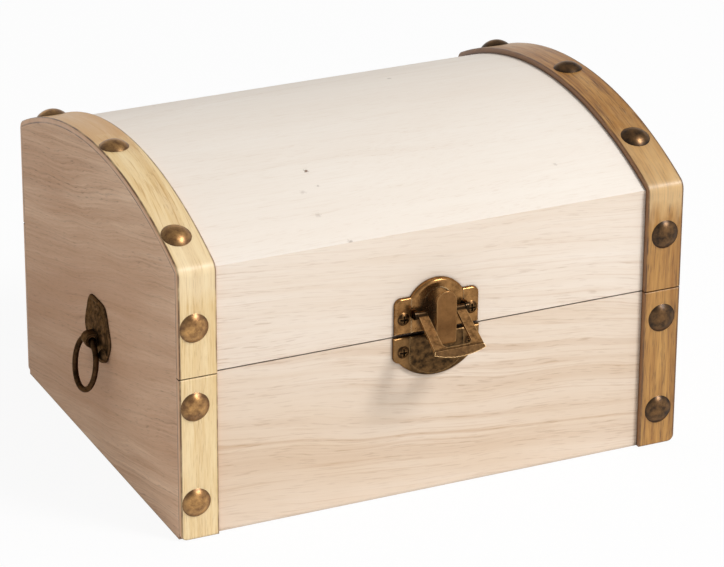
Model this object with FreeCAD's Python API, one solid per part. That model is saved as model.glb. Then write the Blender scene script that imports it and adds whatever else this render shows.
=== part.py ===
import FreeCAD, Part
import math
import os

from FreeCAD import Placement, Rotation, Vector

# Small wooden chest with a domed lid, bent strap bands, dome-headed nails, a hasp latch and ring pulls.
# Millimetres. X runs along the front, Y to the back, Z up. The origin is under the middle of the floor.

# Carcass
BODY_WIDTH = 200.0
BODY_DEPTH = 153.0
SPLIT_HEIGHT = 63.3
SHOULDER_HEIGHT = 103.2
CROWN_HEIGHT = 121.7
END_THICKNESS = 9.0
WALL_THICKNESS = 8.0
FLOOR_THICKNESS = 4.0
FLOOR_REBATE = 4.0
TOP_THICKNESS = 3.0
TOP_LEDGE = 4.5
SPLIT_GAP = 0.5

# Strap bands
STRAP_WIDTH = 14.8
STRAP_THICKNESS = 2.2
STRAP_BEND = 4.5
STRAP_EDGE = 0.6
STRAP_FOOT_CORNER = 2.6

# Dome-headed nails, each side placed by hand: inset from the end, heights on the front and back,
# and distances over the dome from the front shoulder
NAIL_HEAD_RADIUS = 5.5
NAIL_HEAD_HEIGHT = 2.4
NAIL_CAP_THICKNESS = 0.7
NAIL_SHANK_RADIUS = 0.8
NAIL_LENGTH = 11.0
NAIL_POINT = 2.5
PILOT_CLEARANCE = 0.1
NAIL_INSET = {"left": 6.0, "right": 7.4}
BASE_NAIL_HEIGHTS = (14.5, 52.0)
LID_NAIL_HEIGHT = {"left": 82.3, "right": 85.4}
DOME_NAILS = {"left": (16.6, 76.7, 143.1), "right": (26.7, 81.5, 143.9)}

# Cross slots of the screws, as shares of their heads
SLOT_REACH_SHARE = 0.62
SLOT_HALF_SHARE = 0.16
SLOT_FLOOR_SHARE = 0.25

# Butt hinges on the back
HINGE_X = 47.0
HINGE_WIDTH = 24.0
HINGE_LEAF_HEIGHT = 13.5
HINGE_LEAF_CORNER = 2.0
HINGE_LEAF_THICKNESS = 1.0
HINGE_BARREL_RADIUS = 2.2
HINGE_PIN_RADIUS = 1.0
HINGE_PIN_HEAD_RADIUS = 1.7
HINGE_PIN_HEAD = 0.6
HINGE_RUNNING_FIT = 0.05
HINGE_KNUCKLE_GAP = 0.2
HINGE_BACK_GAP = 0.1
HINGE_SCREW_X = 7.5
HINGE_SCREW_UP = 8.6
HINGE_SCREW = {"head_radius": 1.9, "head_height": 0.9, "shank_radius": 0.9, "length": 6.5}

# Latch: positions are sideways from its own middle, out from the front panel and up from the split
LATCH_X = 0.5
LATCH_SHEET = 0.7
LID_EAR_HALF = 16.7
BASE_EAR_HALF = 17.1
LATCH_EAR_RELIEF = 1.4
LATCH_EAR_CORNER = 2.6
LATCH_EDGE = 0.9
LATCH_CROWN_HALF = 10.5
LATCH_CROWN_RELIEF = 2.1
LATCH_CROWN_EDGE = 1.4
CROWN_SPRING_DROP = 0.3
LID_PLATE_BOTTOM = 0.9
LID_PLATE_EAR_TOP = 14.9
LID_PLATE_TOP = 20.8
POCKET_HALF = 5.3
POCKET_TOP = 17.4
BASE_PLATE_TOP = -0.2
BASE_PLATE_EAR_BOTTOM = -10.4
BASE_PLATE_BOTTOM = -17.1
BASE_BOWL_HALF = 14.7
BASE_DISH_RELIEF = 1.9
BASE_DISH_RIM = 0.9
BASE_DISH_SCREW_GAP = 0.3
LID_SCREW_UP = 7.1
BASE_SCREW_UP = -5.8
LATCH_SCREW = {"head_radius": 2.5, "head_height": 1.1, "shank_radius": 1.1, "length": 6.5}

# Hook on the base plate
HOOK_HALF = 4.0
HOOK_THICKNESS = 1.0
HOOK_OUT = 9.2
HOOK_TOP = 18.7
HOOK_SHELF = -2.7
HOOK_BEND = 2.4
HOOK_EDGE = 0.3
HOOK_TIP_FLAT = 0.05

# Swinging flap on the lid plate
PIVOT_OUT = 4.2
PIVOT_UP = 9.2
PIVOT_RADIUS = 0.9
PIVOT_FIT = 0.06
FLAP_SHEET = 1.0
FLAP_ARM_INNER = 5.7
FLAP_ARM_OUTER = 9.3
FLAP_TAIL_HALF = 9.7
FLAP_BEND_AT = 17.4
FLAP_BAR = 1.0
FLAP_WINDOW_CORNER = 2.0
FLAP_LIP = 1.2
FLAP_LIP_FLARE = 0.5
FLAP_LIP_BULGE = 1.8
FLAP_LIP_ANGLE = -30.0
FLAP_CURL_RADIUS = 1.2
FLAP_RAISED = 61.0
LUG_WIDTH = 1.2
LUG_GAP = 0.2
LUG_RADIUS = 1.7
LUG_SCREW_GAP = 0.3

# Ring pulls on the ends: positions are along the end from the pull's own middle, out from the panel
# and up from the split
PULL_Y = -1.0
PULL_SHEET = 1.0
PULL_RELIEF = 1.6
PULL_RELIEF_SHARE = 0.62
EYE_OUT = 3.7
EYE_UP = -15.4
EYE_HALF = 2.4
EYE_RADIUS = 2.6
EYE_BORE = 1.55
EYE_SHANK_RADIUS = 1.4
EYE_TAIL = 7.0
EYE_TAIL_THICKNESS = 0.9
RING_RADIUS = 9.75
RING_WIRE = 1.08
RING_LEAN = 11.4
PAD_Y = 7.0
PAD_UP = -19.8
PAD_RADIUS = 2.4
PAD_HEIGHT = 3.3
PULL_PIN_UPS = (-3.7, -23.0)
PULL_PIN = {"head_radius": 1.25, "head_height": 0.8, "shank_radius": 0.6, "length": 6.0}
PULL_TOP = -0.3
PULL_FOOT = -24.9
PULL_OUTLINE = (
    (2.8, -0.25), (5.2, -0.4), (7.4, -1.2), (9.0, -3.6), (10.2, -6.8), (11.4, -9.8), (12.2, -12.4),
    (12.2, -15.0), (10.8, -18.0), (9.0, -20.6), (6.0, -23.2), (3.0, -24.5),
)

# Sizes that follow from the ones above
HALF_WIDTH = BODY_WIDTH / 2
HALF_DEPTH = BODY_DEPTH / 2
INNER_HALF = HALF_WIDTH - END_THICKNESS
DOME_RISE = CROWN_HEIGHT - SHOULDER_HEIGHT
DOME_RADIUS = (HALF_DEPTH ** 2 + DOME_RISE ** 2) / (2 * DOME_RISE)
DOME_CENTRE = CROWN_HEIGHT - DOME_RADIUS
SHOULDER_ANGLE = math.asin(HALF_DEPTH / DOME_RADIUS)
BASE_RIM = SPLIT_HEIGHT - SPLIT_GAP / 2
LID_RIM = SPLIT_HEIGHT + SPLIT_GAP / 2
STRAP_FACE = HALF_DEPTH + STRAP_THICKNESS
STRAP_DOME = DOME_RADIUS + STRAP_THICKNESS
LUG_END = FLAP_ARM_OUTER + LUG_GAP + LUG_WIDTH
LATCH_SCREW_X = LUG_END + LUG_SCREW_GAP + LATCH_SCREW["head_radius"]
BASE_DISH_HALF = LATCH_SCREW_X - LATCH_SCREW["head_radius"] - BASE_DISH_SCREW_GAP
SIDES = (("left", -1), ("right", 1))
FACES = (("front", -1), ("back", 1))
TINY = 1e-4


def box(x, y, z):
    """Box from three (low, high) ranges."""
    size = [abs(r[1] - r[0]) for r in (x, y, z)]
    return Part.makeBox(size[0], size[1], size[2], Vector(min(x), min(y), min(z)))


def prism(edges, travel):
    """Solid swept along a straight line from a closed flat outline."""
    return Part.Face(Part.Wire(Part.__sortEdges__(edges))).extrude(travel)


def line(a, b):
    return Part.makeLine(a, b)


def arc(a, middle, b):
    return Part.Arc(a, middle, b).toShape()


def placed(shape, point, direction):
    """Copy of a piece modelled along +Z, set at a point and facing a direction."""
    copy = shape.copy()
    copy.Placement = Placement(point, Rotation(Vector(0, 0, 1), direction)).multiply(copy.Placement)
    return copy


def mirrored(shape):
    return shape.mirror(Vector(0, 0, 0), Vector(1, 0, 0))


def rounded(shape, radius, chosen):
    """Fillet on every edge whose middle point and extent pass a test."""
    edges = []
    for edge in shape.Edges:
        middle = edge.valueAt((edge.FirstParameter + edge.LastParameter) / 2)
        if chosen(middle, edge.BoundBox):
            edges.append(edge)
    return shape.makeFillet(radius, edges)


def on_dome(radius, angle):
    return Vector(0, radius * math.sin(angle), DOME_CENTRE + radius * math.cos(angle))


def lid_block(grow, bottom, x):
    """Whole lid profile, grown outwards, between two X positions."""
    half = HALF_DEPTH + grow
    radius = DOME_RADIUS + grow
    angle = math.asin(half / radius)
    front = on_dome(radius, -angle)
    back = on_dome(radius, angle)
    edges = [
        line(Vector(0, -half, bottom), front),
        arc(front, on_dome(radius, 0), back),
        line(back, Vector(0, half, bottom)),
        line(Vector(0, half, bottom), Vector(0, -half, bottom)),
    ]
    block = prism(edges, Vector(x[1] - x[0], 0, 0))
    block.translate(Vector(x[0], 0, 0))
    return block


def spun(edges):
    return Part.Face(Part.Wire(edges)).revolve(Vector(0, 0, 0), Vector(0, 0, 1), 360)


def cap_point(radius, height, share):
    """Point on a shallow spherical cap, at a share of its half-angle from the crown."""
    sphere = (radius ** 2 + height ** 2) / (2 * height)
    angle = share * math.asin(radius / sphere)
    return Vector(sphere * math.sin(angle), 0, height - sphere + sphere * math.cos(angle))


def nail():
    """Hollow domed head with a pointed shank, seated at Z 0."""
    inner_radius = NAIL_HEAD_RADIUS - NAIL_CAP_THICKNESS
    inner_height = NAIL_HEAD_HEIGHT - NAIL_CAP_THICKNESS
    crown = Vector(0, 0, NAIL_HEAD_HEIGHT)
    rim = Vector(NAIL_HEAD_RADIUS, 0, 0)
    lip = Vector(inner_radius, 0, 0)
    sphere = (inner_radius ** 2 + inner_height ** 2) / (2 * inner_height)
    root_height = inner_height - sphere + math.sqrt(sphere ** 2 - NAIL_SHANK_RADIUS ** 2)
    root = Vector(NAIL_SHANK_RADIUS, 0, root_height)
    shoulder = Vector(NAIL_SHANK_RADIUS, 0, NAIL_POINT - NAIL_LENGTH)
    tip = Vector(0, 0, -NAIL_LENGTH)
    return spun([
        arc(crown, cap_point(NAIL_HEAD_RADIUS, NAIL_HEAD_HEIGHT, 0.5), rim),
        line(rim, lip),
        arc(lip, cap_point(inner_radius, inner_height, 0.5), root),
        line(root, shoulder),
        line(shoulder, tip),
        line(tip, crown),
    ])


def pin_nail(head_radius, head_height, shank_radius, length):
    """Small round-headed pin, seated at Z 0."""
    crown = Vector(0, 0, head_height)
    rim = Vector(head_radius, 0, 0)
    neck = Vector(shank_radius, 0, 0)
    shoulder = Vector(shank_radius, 0, 2 * shank_radius - length)
    tip = Vector(0, 0, -length)
    return spun([
        arc(crown, cap_point(head_radius, head_height, 0.5), rim),
        line(rim, neck),
        line(neck, shoulder),
        line(shoulder, tip),
        line(tip, crown),
    ])


def screw(head_radius, head_height, shank_radius, length):
    """Round-headed cross-slot screw, seated at Z 0."""
    body = pin_nail(head_radius, head_height, shank_radius, length)
    reach = SLOT_REACH_SHARE * head_radius
    half = SLOT_HALF_SHARE * head_radius
    depth = (SLOT_FLOOR_SHARE * head_height, 2 * head_height)
    body = body.cut(box((-reach, reach), (-half, half), depth))
    return body.cut(box((-half, half), (-reach, reach), depth))


def pilot(radius, depth, point, direction):
    """Hole for a shank, sunk from a seat point against the facing direction."""
    depth += PILOT_CLEARANCE
    hole = Part.makeCylinder(radius + PILOT_CLEARANCE, depth, Vector(0, 0, -depth))
    return placed(hole, point, direction)


def drilled(shape, holes):
    return shape.cut(Part.makeCompound(holes)).removeSplitter()


def only_solid(shape):
    """The single solid of a boolean result."""
    assert len(shape.Solids) == 1, len(shape.Solids)
    return shape.Solids[0]


parts = {}

# Where every nail sits and which way it faces
base_seats = {}
lid_seats = {}
for side, sign in SIDES:
    nail_x = sign * (HALF_WIDTH - NAIL_INSET[side])
    for face, way in FACES:
        seats = []
        for height in BASE_NAIL_HEIGHTS:
            seats.append((Vector(nail_x, way * STRAP_FACE, height), Vector(0, way, 0)))
        base_seats[face, side] = seats
    seats = []
    for face, way in FACES:
        seats.append((Vector(nail_x, way * STRAP_FACE, LID_NAIL_HEIGHT[side]), Vector(0, way, 0)))
    for distance in DOME_NAILS[side]:
        angle = distance / STRAP_DOME - math.asin(STRAP_FACE / STRAP_DOME)
        point = on_dome(STRAP_DOME, angle)
        seats.append((Vector(nail_x, point.y, point.z), Vector(0, math.sin(angle), math.cos(angle))))
    lid_seats[side] = seats

base_holes = []
for seats in base_seats.values():
    base_holes += [pilot(NAIL_SHANK_RADIUS, NAIL_LENGTH, *seat) for seat in seats]
lid_holes = []
for seats in lid_seats.values():
    lid_holes += [pilot(NAIL_SHANK_RADIUS, NAIL_LENGTH, *seat) for seat in seats]

# Where the screws of the latch and the hinges sit
FRONT = Vector(0, -1, 0)
BACK = Vector(0, 1, 0)
latch_y = -HALF_DEPTH - LATCH_EAR_RELIEF
latch_seats = {"lid": [], "base": []}
hinge_seats = {"lid": [], "base": []}
for side, sign in SIDES:
    latch_x = LATCH_X + sign * LATCH_SCREW_X
    latch_seats["lid"].append((Vector(latch_x, latch_y, SPLIT_HEIGHT + LID_SCREW_UP), FRONT))
    latch_seats["base"].append((Vector(latch_x, latch_y, SPLIT_HEIGHT + BASE_SCREW_UP), FRONT))
    for shift in (-HINGE_SCREW_X, HINGE_SCREW_X):
        leaf_y = HALF_DEPTH + HINGE_LEAF_THICKNESS
        leaf_x = sign * HINGE_X + shift
        hinge_seats["lid"].append((Vector(leaf_x, leaf_y, SPLIT_HEIGHT + HINGE_SCREW_UP), BACK))
        hinge_seats["base"].append((Vector(leaf_x, leaf_y, SPLIT_HEIGHT - HINGE_SCREW_UP), BACK))


def screw_holes(seats, size):
    return [pilot(size["shank_radius"], size["length"], *seat) for seat in seats]


base_holes += screw_holes(latch_seats["base"], LATCH_SCREW)
base_holes += screw_holes(hinge_seats["base"], HINGE_SCREW)
lid_holes += screw_holes(latch_seats["lid"], LATCH_SCREW)
lid_holes += screw_holes(hinge_seats["lid"], HINGE_SCREW)

# Where the ring pulls go through the end panels
pull_holes = {}
eye_level = SPLIT_HEIGHT + EYE_UP
for side, sign in SIDES:
    outward = Vector(sign, 0, 0)
    seat = Vector(sign * (HALF_WIDTH + PULL_RELIEF), PULL_Y, eye_level)
    holes = [pilot(EYE_SHANK_RADIUS, END_THICKNESS + PULL_RELIEF, seat, outward)]
    for pin_up in PULL_PIN_UPS:
        seat = Vector(sign * (HALF_WIDTH + PULL_SHEET), PULL_Y, SPLIT_HEIGHT + pin_up)
        holes.append(pilot(PULL_PIN["shank_radius"], PULL_PIN["length"], seat, outward))
    pull_holes[side] = holes

# Base carcass: ends over the full depth, walls between them, floor in a rebate
floor = box(
    (-INNER_HALF - FLOOR_REBATE, INNER_HALF + FLOOR_REBATE),
    (-HALF_DEPTH + WALL_THICKNESS - FLOOR_REBATE, HALF_DEPTH - WALL_THICKNESS + FLOOR_REBATE),
    (0, FLOOR_THICKNESS),
)
parts["base_floor"] = floor
for face, way in FACES:
    wall = box(
        (-INNER_HALF, INNER_HALF),
        (way * HALF_DEPTH, way * (HALF_DEPTH - WALL_THICKNESS)),
        (0, BASE_RIM),
    )
    parts["base_" + face + "_panel"] = only_solid(drilled(wall.cut(floor), base_holes))
for side, sign in SIDES:
    end = box(
        (sign * HALF_WIDTH, sign * INNER_HALF),
        (-HALF_DEPTH, HALF_DEPTH),
        (0, SPLIT_HEIGHT),
    )
    parts["base_" + side + "_end"] = only_solid(drilled(end.cut(floor), base_holes + pull_holes[side]))

# Lid carcass: a bent top let into the ends, rails between the ends under its two edges
top_outer = [on_dome(DOME_RADIUS, k * SHOULDER_ANGLE) for k in (-1, 0, 1)]
top_inner = [on_dome(DOME_RADIUS - TOP_THICKNESS, k * SHOULDER_ANGLE) for k in (-1, 0, 1)]
top_reach = HALF_WIDTH - TOP_LEDGE
top = prism(
    [arc(*top_outer), line(top_outer[2], top_inner[2]), arc(*top_inner), line(top_inner[0], top_outer[0])],
    Vector(2 * top_reach, 0, 0),
)
top.translate(Vector(-top_reach, 0, 0))
parts["lid_top_panel"] = only_solid(drilled(top, lid_holes))
for side, sign in SIDES:
    span = sorted((sign * HALF_WIDTH, sign * INNER_HALF))
    end = lid_block(0, SPLIT_HEIGHT, span).cut(top)
    parts["lid_" + side + "_end"] = only_solid(drilled(end, lid_holes))
for face, way in FACES:
    slab = box(
        (-INNER_HALF, INNER_HALF),
        (way * HALF_DEPTH, way * (HALF_DEPTH - WALL_THICKNESS)),
        (LID_RIM, CROWN_HEIGHT),
    )
    rail = lid_block(0, LID_RIM, (-INNER_HALF, INNER_HALF)).cut(top).common(slab)
    parts["lid_" + face + "_rail"] = only_solid(drilled(rail, lid_holes))


def strap_edge(middle, extent):
    """Outer long edges and outer ends of a strap band."""
    if middle.z < SHOULDER_HEIGHT:
        outside = abs(middle.y) > HALF_DEPTH + 0.6 * STRAP_THICKNESS
    else:
        outside = math.hypot(middle.y, middle.z - DOME_CENTRE) > DOME_RADIUS + 0.4 * STRAP_THICKNESS
    return outside and extent.XLength < TINY


def shoulder_edge(middle, extent):
    return extent.XLength > TINY and middle.z > LID_RIM + TINY


# Strap bands: one bent strip each side over the lid, a short strip at each corner of the base
for side, sign in SIDES:
    span = sorted((sign * HALF_WIDTH, sign * (HALF_WIDTH - STRAP_WIDTH)))
    strap = rounded(lid_block(STRAP_THICKNESS, LID_RIM, span), STRAP_BEND, shoulder_edge)
    strap = strap.cut(lid_block(0, LID_RIM, span))
    strap = rounded(strap, STRAP_EDGE, strap_edge)
    parts["lid_strap_" + side] = only_solid(drilled(strap, lid_holes))
    for face, way in FACES:
        strip = box(span, (way * HALF_DEPTH, way * STRAP_FACE), (0, BASE_RIM))
        strip = rounded(
            strip,
            STRAP_FOOT_CORNER,
            lambda m, b: b.YLength > TINY and m.z < TINY and abs(m.x) > HALF_WIDTH - TINY,
        )
        strip = rounded(
            strip,
            STRAP_EDGE,
            lambda m, b: b.YLength < TINY and abs(m.y) > STRAP_FACE - TINY and m.z > TINY,
        )
        parts["base_strap_" + face + "_" + side] = only_solid(drilled(strip, base_holes))

# Nails, one group for each strap
stud = nail()
for side, sign in SIDES:
    parts["lid_nails_" + side] = Part.makeCompound([placed(stud, *seat) for seat in lid_seats[side]])
    for face, way in FACES:
        seats = base_seats[face, side]
        parts["base_nails_" + face + "_" + side] = Part.makeCompound([placed(stud, *seat) for seat in seats])

# Hinges: outer knuckles on the base leaf, the middle one on the lid leaf, and a headed pin
axis_y = HALF_DEPTH + HINGE_BARREL_RADIUS + HINGE_BACK_GAP
knuckle = HINGE_WIDTH / 3
ALONG = Vector(1, 0, 0)


def along_axis(radius, x):
    return Part.makeCylinder(radius, x[1] - x[0], Vector(x[0], axis_y, SPLIT_HEIGHT), ALONG)


def hinge_leaf(centre, up, knuckles, bore):
    """Leaf on the back face, reaching up or down, with knuckles over the given X ranges."""
    clear = HINGE_BARREL_RADIUS + HINGE_KNUCKLE_GAP
    half = HINGE_WIDTH / 2
    depth = (HALF_DEPTH, HALF_DEPTH + HINGE_LEAF_THICKNESS)
    rise = sorted((SPLIT_HEIGHT + up * clear, SPLIT_HEIGHT + up * HINGE_LEAF_HEIGHT))
    leaf = box((centre - half, centre + half), depth, rise)
    leaf = rounded(
        leaf,
        HINGE_LEAF_CORNER,
        lambda m, b: b.YLength > TINY and abs(m.z - SPLIT_HEIGHT) > HINGE_LEAF_HEIGHT - TINY,
    )
    for low, high in knuckles:
        reach = sorted((SPLIT_HEIGHT, SPLIT_HEIGHT + up * clear))
        leaf = leaf.fuse(box((low, high), (depth[0] + HINGE_BACK_GAP, depth[1]), reach))
        leaf = leaf.fuse(along_axis(HINGE_BARREL_RADIUS, (low, high)))
    holes = [along_axis(bore, (centre - HINGE_WIDTH, centre + HINGE_WIDTH))]
    for way in ("lid", "base"):
        holes += screw_holes(hinge_seats[way], HINGE_SCREW)
    return only_solid(drilled(leaf, holes))


for side, sign in SIDES:
    centre = sign * HINGE_X
    low = centre - HINGE_WIDTH / 2
    high = centre + HINGE_WIDTH / 2
    outer = ((low, low + knuckle), (high - knuckle, high))
    inner = ((low + knuckle + HINGE_KNUCKLE_GAP, high - knuckle - HINGE_KNUCKLE_GAP),)
    bore = HINGE_PIN_RADIUS + HINGE_RUNNING_FIT
    parts["hinge_" + side + "_base_leaf"] = hinge_leaf(centre, -1, outer, bore)
    parts["hinge_" + side + "_lid_leaf"] = hinge_leaf(centre, 1, inner, bore)
    pin = along_axis(HINGE_PIN_RADIUS, (low, high))
    pin = pin.fuse(along_axis(HINGE_PIN_HEAD_RADIUS, (low - HINGE_PIN_HEAD, low)))
    pin = pin.fuse(along_axis(HINGE_PIN_HEAD_RADIUS, (high, high + HINGE_PIN_HEAD)))
    parts["hinge_" + side + "_pin"] = only_solid(pin)

hinge_screw = screw(**HINGE_SCREW)
for body in ("base", "lid"):
    screws = [placed(hinge_screw, *seat) for seat in hinge_seats[body]]
    parts["hinge_" + body + "_screws"] = Part.makeCompound(screws)


def latch(x, out, up):
    return Vector(LATCH_X + x, -HALF_DEPTH - out, SPLIT_HEIGHT + up)


def pressed(edges, relief, edge):
    """Flat outline pressed outwards from the front panel, with its outer edge rounded."""
    blank = prism(edges, Vector(0, -relief, 0))
    face_y = -HALF_DEPTH - relief
    return rounded(blank, edge, lambda m, b: abs(m.y - face_y) < TINY and b.YLength < TINY)


def ear_edges(ear_half, bottom, top, corner_up, shrink):
    """Rectangle between the ears, its far corners rounded on the side that corner_up gives."""
    half = ear_half - shrink
    low = bottom + shrink
    high = top - shrink
    blank = prism(
        [
            line(latch(-half, 0, low), latch(half, 0, low)),
            line(latch(half, 0, low), latch(half, 0, high)),
            line(latch(half, 0, high), latch(-half, 0, high)),
            line(latch(-half, 0, high), latch(-half, 0, low)),
        ],
        Vector(0, -1, 0),
    )
    corner = high if corner_up else low
    blank = rounded(
        blank,
        LATCH_EAR_CORNER,
        lambda m, b: b.YLength > TINY and abs(m.z - SPLIT_HEIGHT - corner) < TINY,
    )
    faces = [f for f in blank.Faces if abs(f.CenterOfMass.y + HALF_DEPTH) < TINY]
    return faces[0].OuterWire.Edges


def crown_edges(shrink):
    """Upright raised middle of the lid plate with an arched top."""
    half = LATCH_CROWN_HALF - shrink
    low = LID_PLATE_BOTTOM + shrink
    crown_spring = LID_PLATE_EAR_TOP - CROWN_SPRING_DROP
    return [
        line(latch(-half, 0, low), latch(half, 0, low)),
        line(latch(half, 0, low), latch(half, 0, crown_spring)),
        arc(
            latch(half, 0, crown_spring),
            latch(0, 0, LID_PLATE_TOP - shrink),
            latch(-half, 0, crown_spring),
        ),
        line(latch(-half, 0, crown_spring), latch(-half, 0, low)),
    ]


def bowl_edges(half, bottom, shrink):
    """Middle of the base plate: straight sides from its top edge and a bowed underside."""
    high = BASE_PLATE_TOP - shrink
    side = BASE_PLATE_EAR_BOTTOM + shrink
    inner = half - shrink
    return [
        line(latch(-inner, 0, high), latch(inner, 0, high)),
        line(latch(inner, 0, high), latch(inner, 0, side)),
        arc(latch(inner, 0, side), latch(0, 0, bottom + shrink), latch(-inner, 0, side)),
        line(latch(-inner, 0, side), latch(-inner, 0, high)),
    ]


def pocket_edges(grow):
    """Upright recess in the lid plate behind the hook, open below and round above."""
    half = POCKET_HALF + grow
    spring = POCKET_TOP - POCKET_HALF
    return [
        line(latch(-half, 0, LID_PLATE_BOTTOM - 1), latch(half, 0, LID_PLATE_BOTTOM - 1)),
        line(latch(half, 0, LID_PLATE_BOTTOM - 1), latch(half, 0, spring)),
        arc(latch(half, 0, spring), latch(0, 0, spring + half), latch(-half, 0, spring)),
        line(latch(-half, 0, spring), latch(-half, 0, LID_PLATE_BOTTOM - 1)),
    ]


def across(radius, x, out, up):
    """Round bar along X at a latch position."""
    return Part.makeCylinder(radius, x[1] - x[0], latch(x[0], out, up), ALONG)


latch_holes = screw_holes(latch_seats["lid"], LATCH_SCREW) + screw_holes(latch_seats["base"], LATCH_SCREW)

# Lid plate: pressed sheet with a raised arch, a recess and two lugs for the flap
lid_ears = (LID_EAR_HALF, LID_PLATE_BOTTOM, LID_PLATE_EAR_TOP, True)
ears = pressed(ear_edges(*lid_ears, 0), LATCH_EAR_RELIEF, LATCH_EDGE)
crown = pressed(crown_edges(0), LATCH_CROWN_RELIEF, LATCH_CROWN_EDGE)
skin = ears.fuse(crown)
hollow = prism(ear_edges(*lid_ears, LATCH_SHEET), Vector(0, LATCH_SHEET - LATCH_EAR_RELIEF, 0))
hollow = hollow.fuse(prism(crown_edges(LATCH_SHEET), Vector(0, LATCH_SHEET - LATCH_CROWN_RELIEF, 0)))
pan = prism(pocket_edges(LATCH_SHEET), Vector(0, -LATCH_CROWN_RELIEF, 0)).common(skin)
pocket = prism(pocket_edges(0), Vector(0, -2 * LATCH_CROWN_RELIEF, 0))
pocket.translate(Vector(0, -LATCH_SHEET, 0))
lid_plate = skin.cut(hollow).fuse(pan).cut(pocket)
lug_low = LUG_END - LUG_WIDTH
for way in (-1, 1):
    span = sorted((way * lug_low, way * LUG_END))
    lug = across(LUG_RADIUS, span, PIVOT_OUT, PIVOT_UP)
    foot = box(
        [LATCH_X + x for x in span],
        (-HALF_DEPTH - PIVOT_OUT, -HALF_DEPTH - LATCH_EAR_RELIEF + LATCH_SHEET),
        (SPLIT_HEIGHT + PIVOT_UP - LUG_RADIUS, SPLIT_HEIGHT + PIVOT_UP + LUG_RADIUS),
    )
    lid_plate = lid_plate.fuse(lug).fuse(foot)
bore = across(PIVOT_RADIUS + PIVOT_FIT, (-LID_EAR_HALF, LID_EAR_HALF), PIVOT_OUT, PIVOT_UP)
parts["latch_lid_plate"] = only_solid(drilled(lid_plate.cut(bore), latch_holes))

# Base plate: pressed sheet with a raised dish, and a hook strip bent out and up from its top
base_ears = (BASE_EAR_HALF, BASE_PLATE_EAR_BOTTOM, BASE_PLATE_TOP, False)
bowl = (BASE_BOWL_HALF, BASE_PLATE_BOTTOM)
dish = (BASE_DISH_HALF, BASE_PLATE_BOTTOM + BASE_DISH_RIM)
skin = pressed(ear_edges(*base_ears, 0), LATCH_EAR_RELIEF, LATCH_EDGE)
skin = skin.fuse(pressed(bowl_edges(*bowl, 0), LATCH_EAR_RELIEF, LATCH_EDGE))
skin = skin.fuse(pressed(bowl_edges(*dish, 0), BASE_DISH_RELIEF, LATCH_EDGE))
hollow = prism(ear_edges(*base_ears, LATCH_SHEET), Vector(0, LATCH_SHEET - LATCH_EAR_RELIEF, 0))
hollow = hollow.fuse(prism(bowl_edges(*bowl, LATCH_SHEET), Vector(0, LATCH_SHEET - LATCH_EAR_RELIEF, 0)))
hollow = hollow.fuse(prism(bowl_edges(*dish, LATCH_SHEET), Vector(0, LATCH_SHEET - BASE_DISH_RELIEF, 0)))
base_plate = skin.cut(hollow)
front_y = -HALF_DEPTH - HOOK_OUT
back_y = front_y + HOOK_THICKNESS
outside = box(
    (LATCH_X - HOOK_HALF, LATCH_X + HOOK_HALF),
    (front_y, -HALF_DEPTH - LATCH_SHEET),
    (SPLIT_HEIGHT + HOOK_SHELF, SPLIT_HEIGHT + HOOK_TOP),
)
outside = rounded(
    outside,
    HOOK_BEND,
    lambda m, b: b.XLength > TINY and m.y < front_y + TINY and m.z < SPLIT_HEIGHT,
)
inside = box(
    (LATCH_X - 2 * HOOK_HALF, LATCH_X + 2 * HOOK_HALF),
    (back_y, -HALF_DEPTH),
    (SPLIT_HEIGHT + HOOK_SHELF + HOOK_THICKNESS, SPLIT_HEIGHT + HOOK_TOP),
)
inside = rounded(
    inside,
    HOOK_BEND - HOOK_THICKNESS,
    lambda m, b: b.XLength > TINY and m.y < back_y + TINY and m.z < SPLIT_HEIGHT,
)
hook = outside.cut(inside)
hook = rounded(
    hook,
    HOOK_HALF - HOOK_TIP_FLAT,
    lambda m, b: b.YLength > TINY and b.XLength < TINY and m.z > SPLIT_HEIGHT + HOOK_TOP - TINY,
)
hook = rounded(
    hook,
    HOOK_EDGE,
    lambda m, b: abs(m.y - front_y) < TINY and b.YLength < TINY and m.z > SPLIT_HEIGHT,
)
parts["latch_base_plate"] = only_solid(drilled(base_plate.fuse(hook), latch_holes))

latch_screw = screw(**LATCH_SCREW)
for body in ("lid", "base"):
    screws = [placed(latch_screw, *seat) for seat in latch_seats[body]]
    parts["latch_" + body + "_screws"] = Part.makeCompound(screws)

# Flap: two arms on stub pivots, a cross-bar and a bent lip, built hanging and then raised
sheet_out = PIVOT_OUT - FLAP_SHEET / 2
bend_up = PIVOT_UP - FLAP_BEND_AT
window_up = bend_up + FLAP_BAR
outline = [
    latch(FLAP_ARM_OUTER, sheet_out, PIVOT_UP),
    latch(FLAP_TAIL_HALF, sheet_out, bend_up),
    latch(-FLAP_TAIL_HALF, sheet_out, bend_up),
    latch(-FLAP_ARM_OUTER, sheet_out, PIVOT_UP),
    latch(-FLAP_ARM_INNER, sheet_out, PIVOT_UP),
    latch(-FLAP_ARM_INNER, sheet_out, window_up),
    latch(FLAP_ARM_INNER, sheet_out, window_up),
    latch(FLAP_ARM_INNER, sheet_out, PIVOT_UP),
]
edges = [line(a, b) for a, b in zip(outline, outline[1:] + outline[:1])]
frame = prism(edges, Vector(0, -FLAP_SHEET, 0))
frame = rounded(
    frame,
    FLAP_WINDOW_CORNER,
    lambda m, b: b.YLength > TINY and abs(m.z - SPLIT_HEIGHT - window_up) < TINY,
)
lip_up = bend_up - FLAP_LIP
lip_half = FLAP_TAIL_HALF + FLAP_LIP_FLARE
left_bend = latch(-FLAP_TAIL_HALF, sheet_out, bend_up)
right_bend = latch(FLAP_TAIL_HALF, sheet_out, bend_up)
left_tip = latch(-lip_half, sheet_out, lip_up)
right_tip = latch(lip_half, sheet_out, lip_up)
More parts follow.
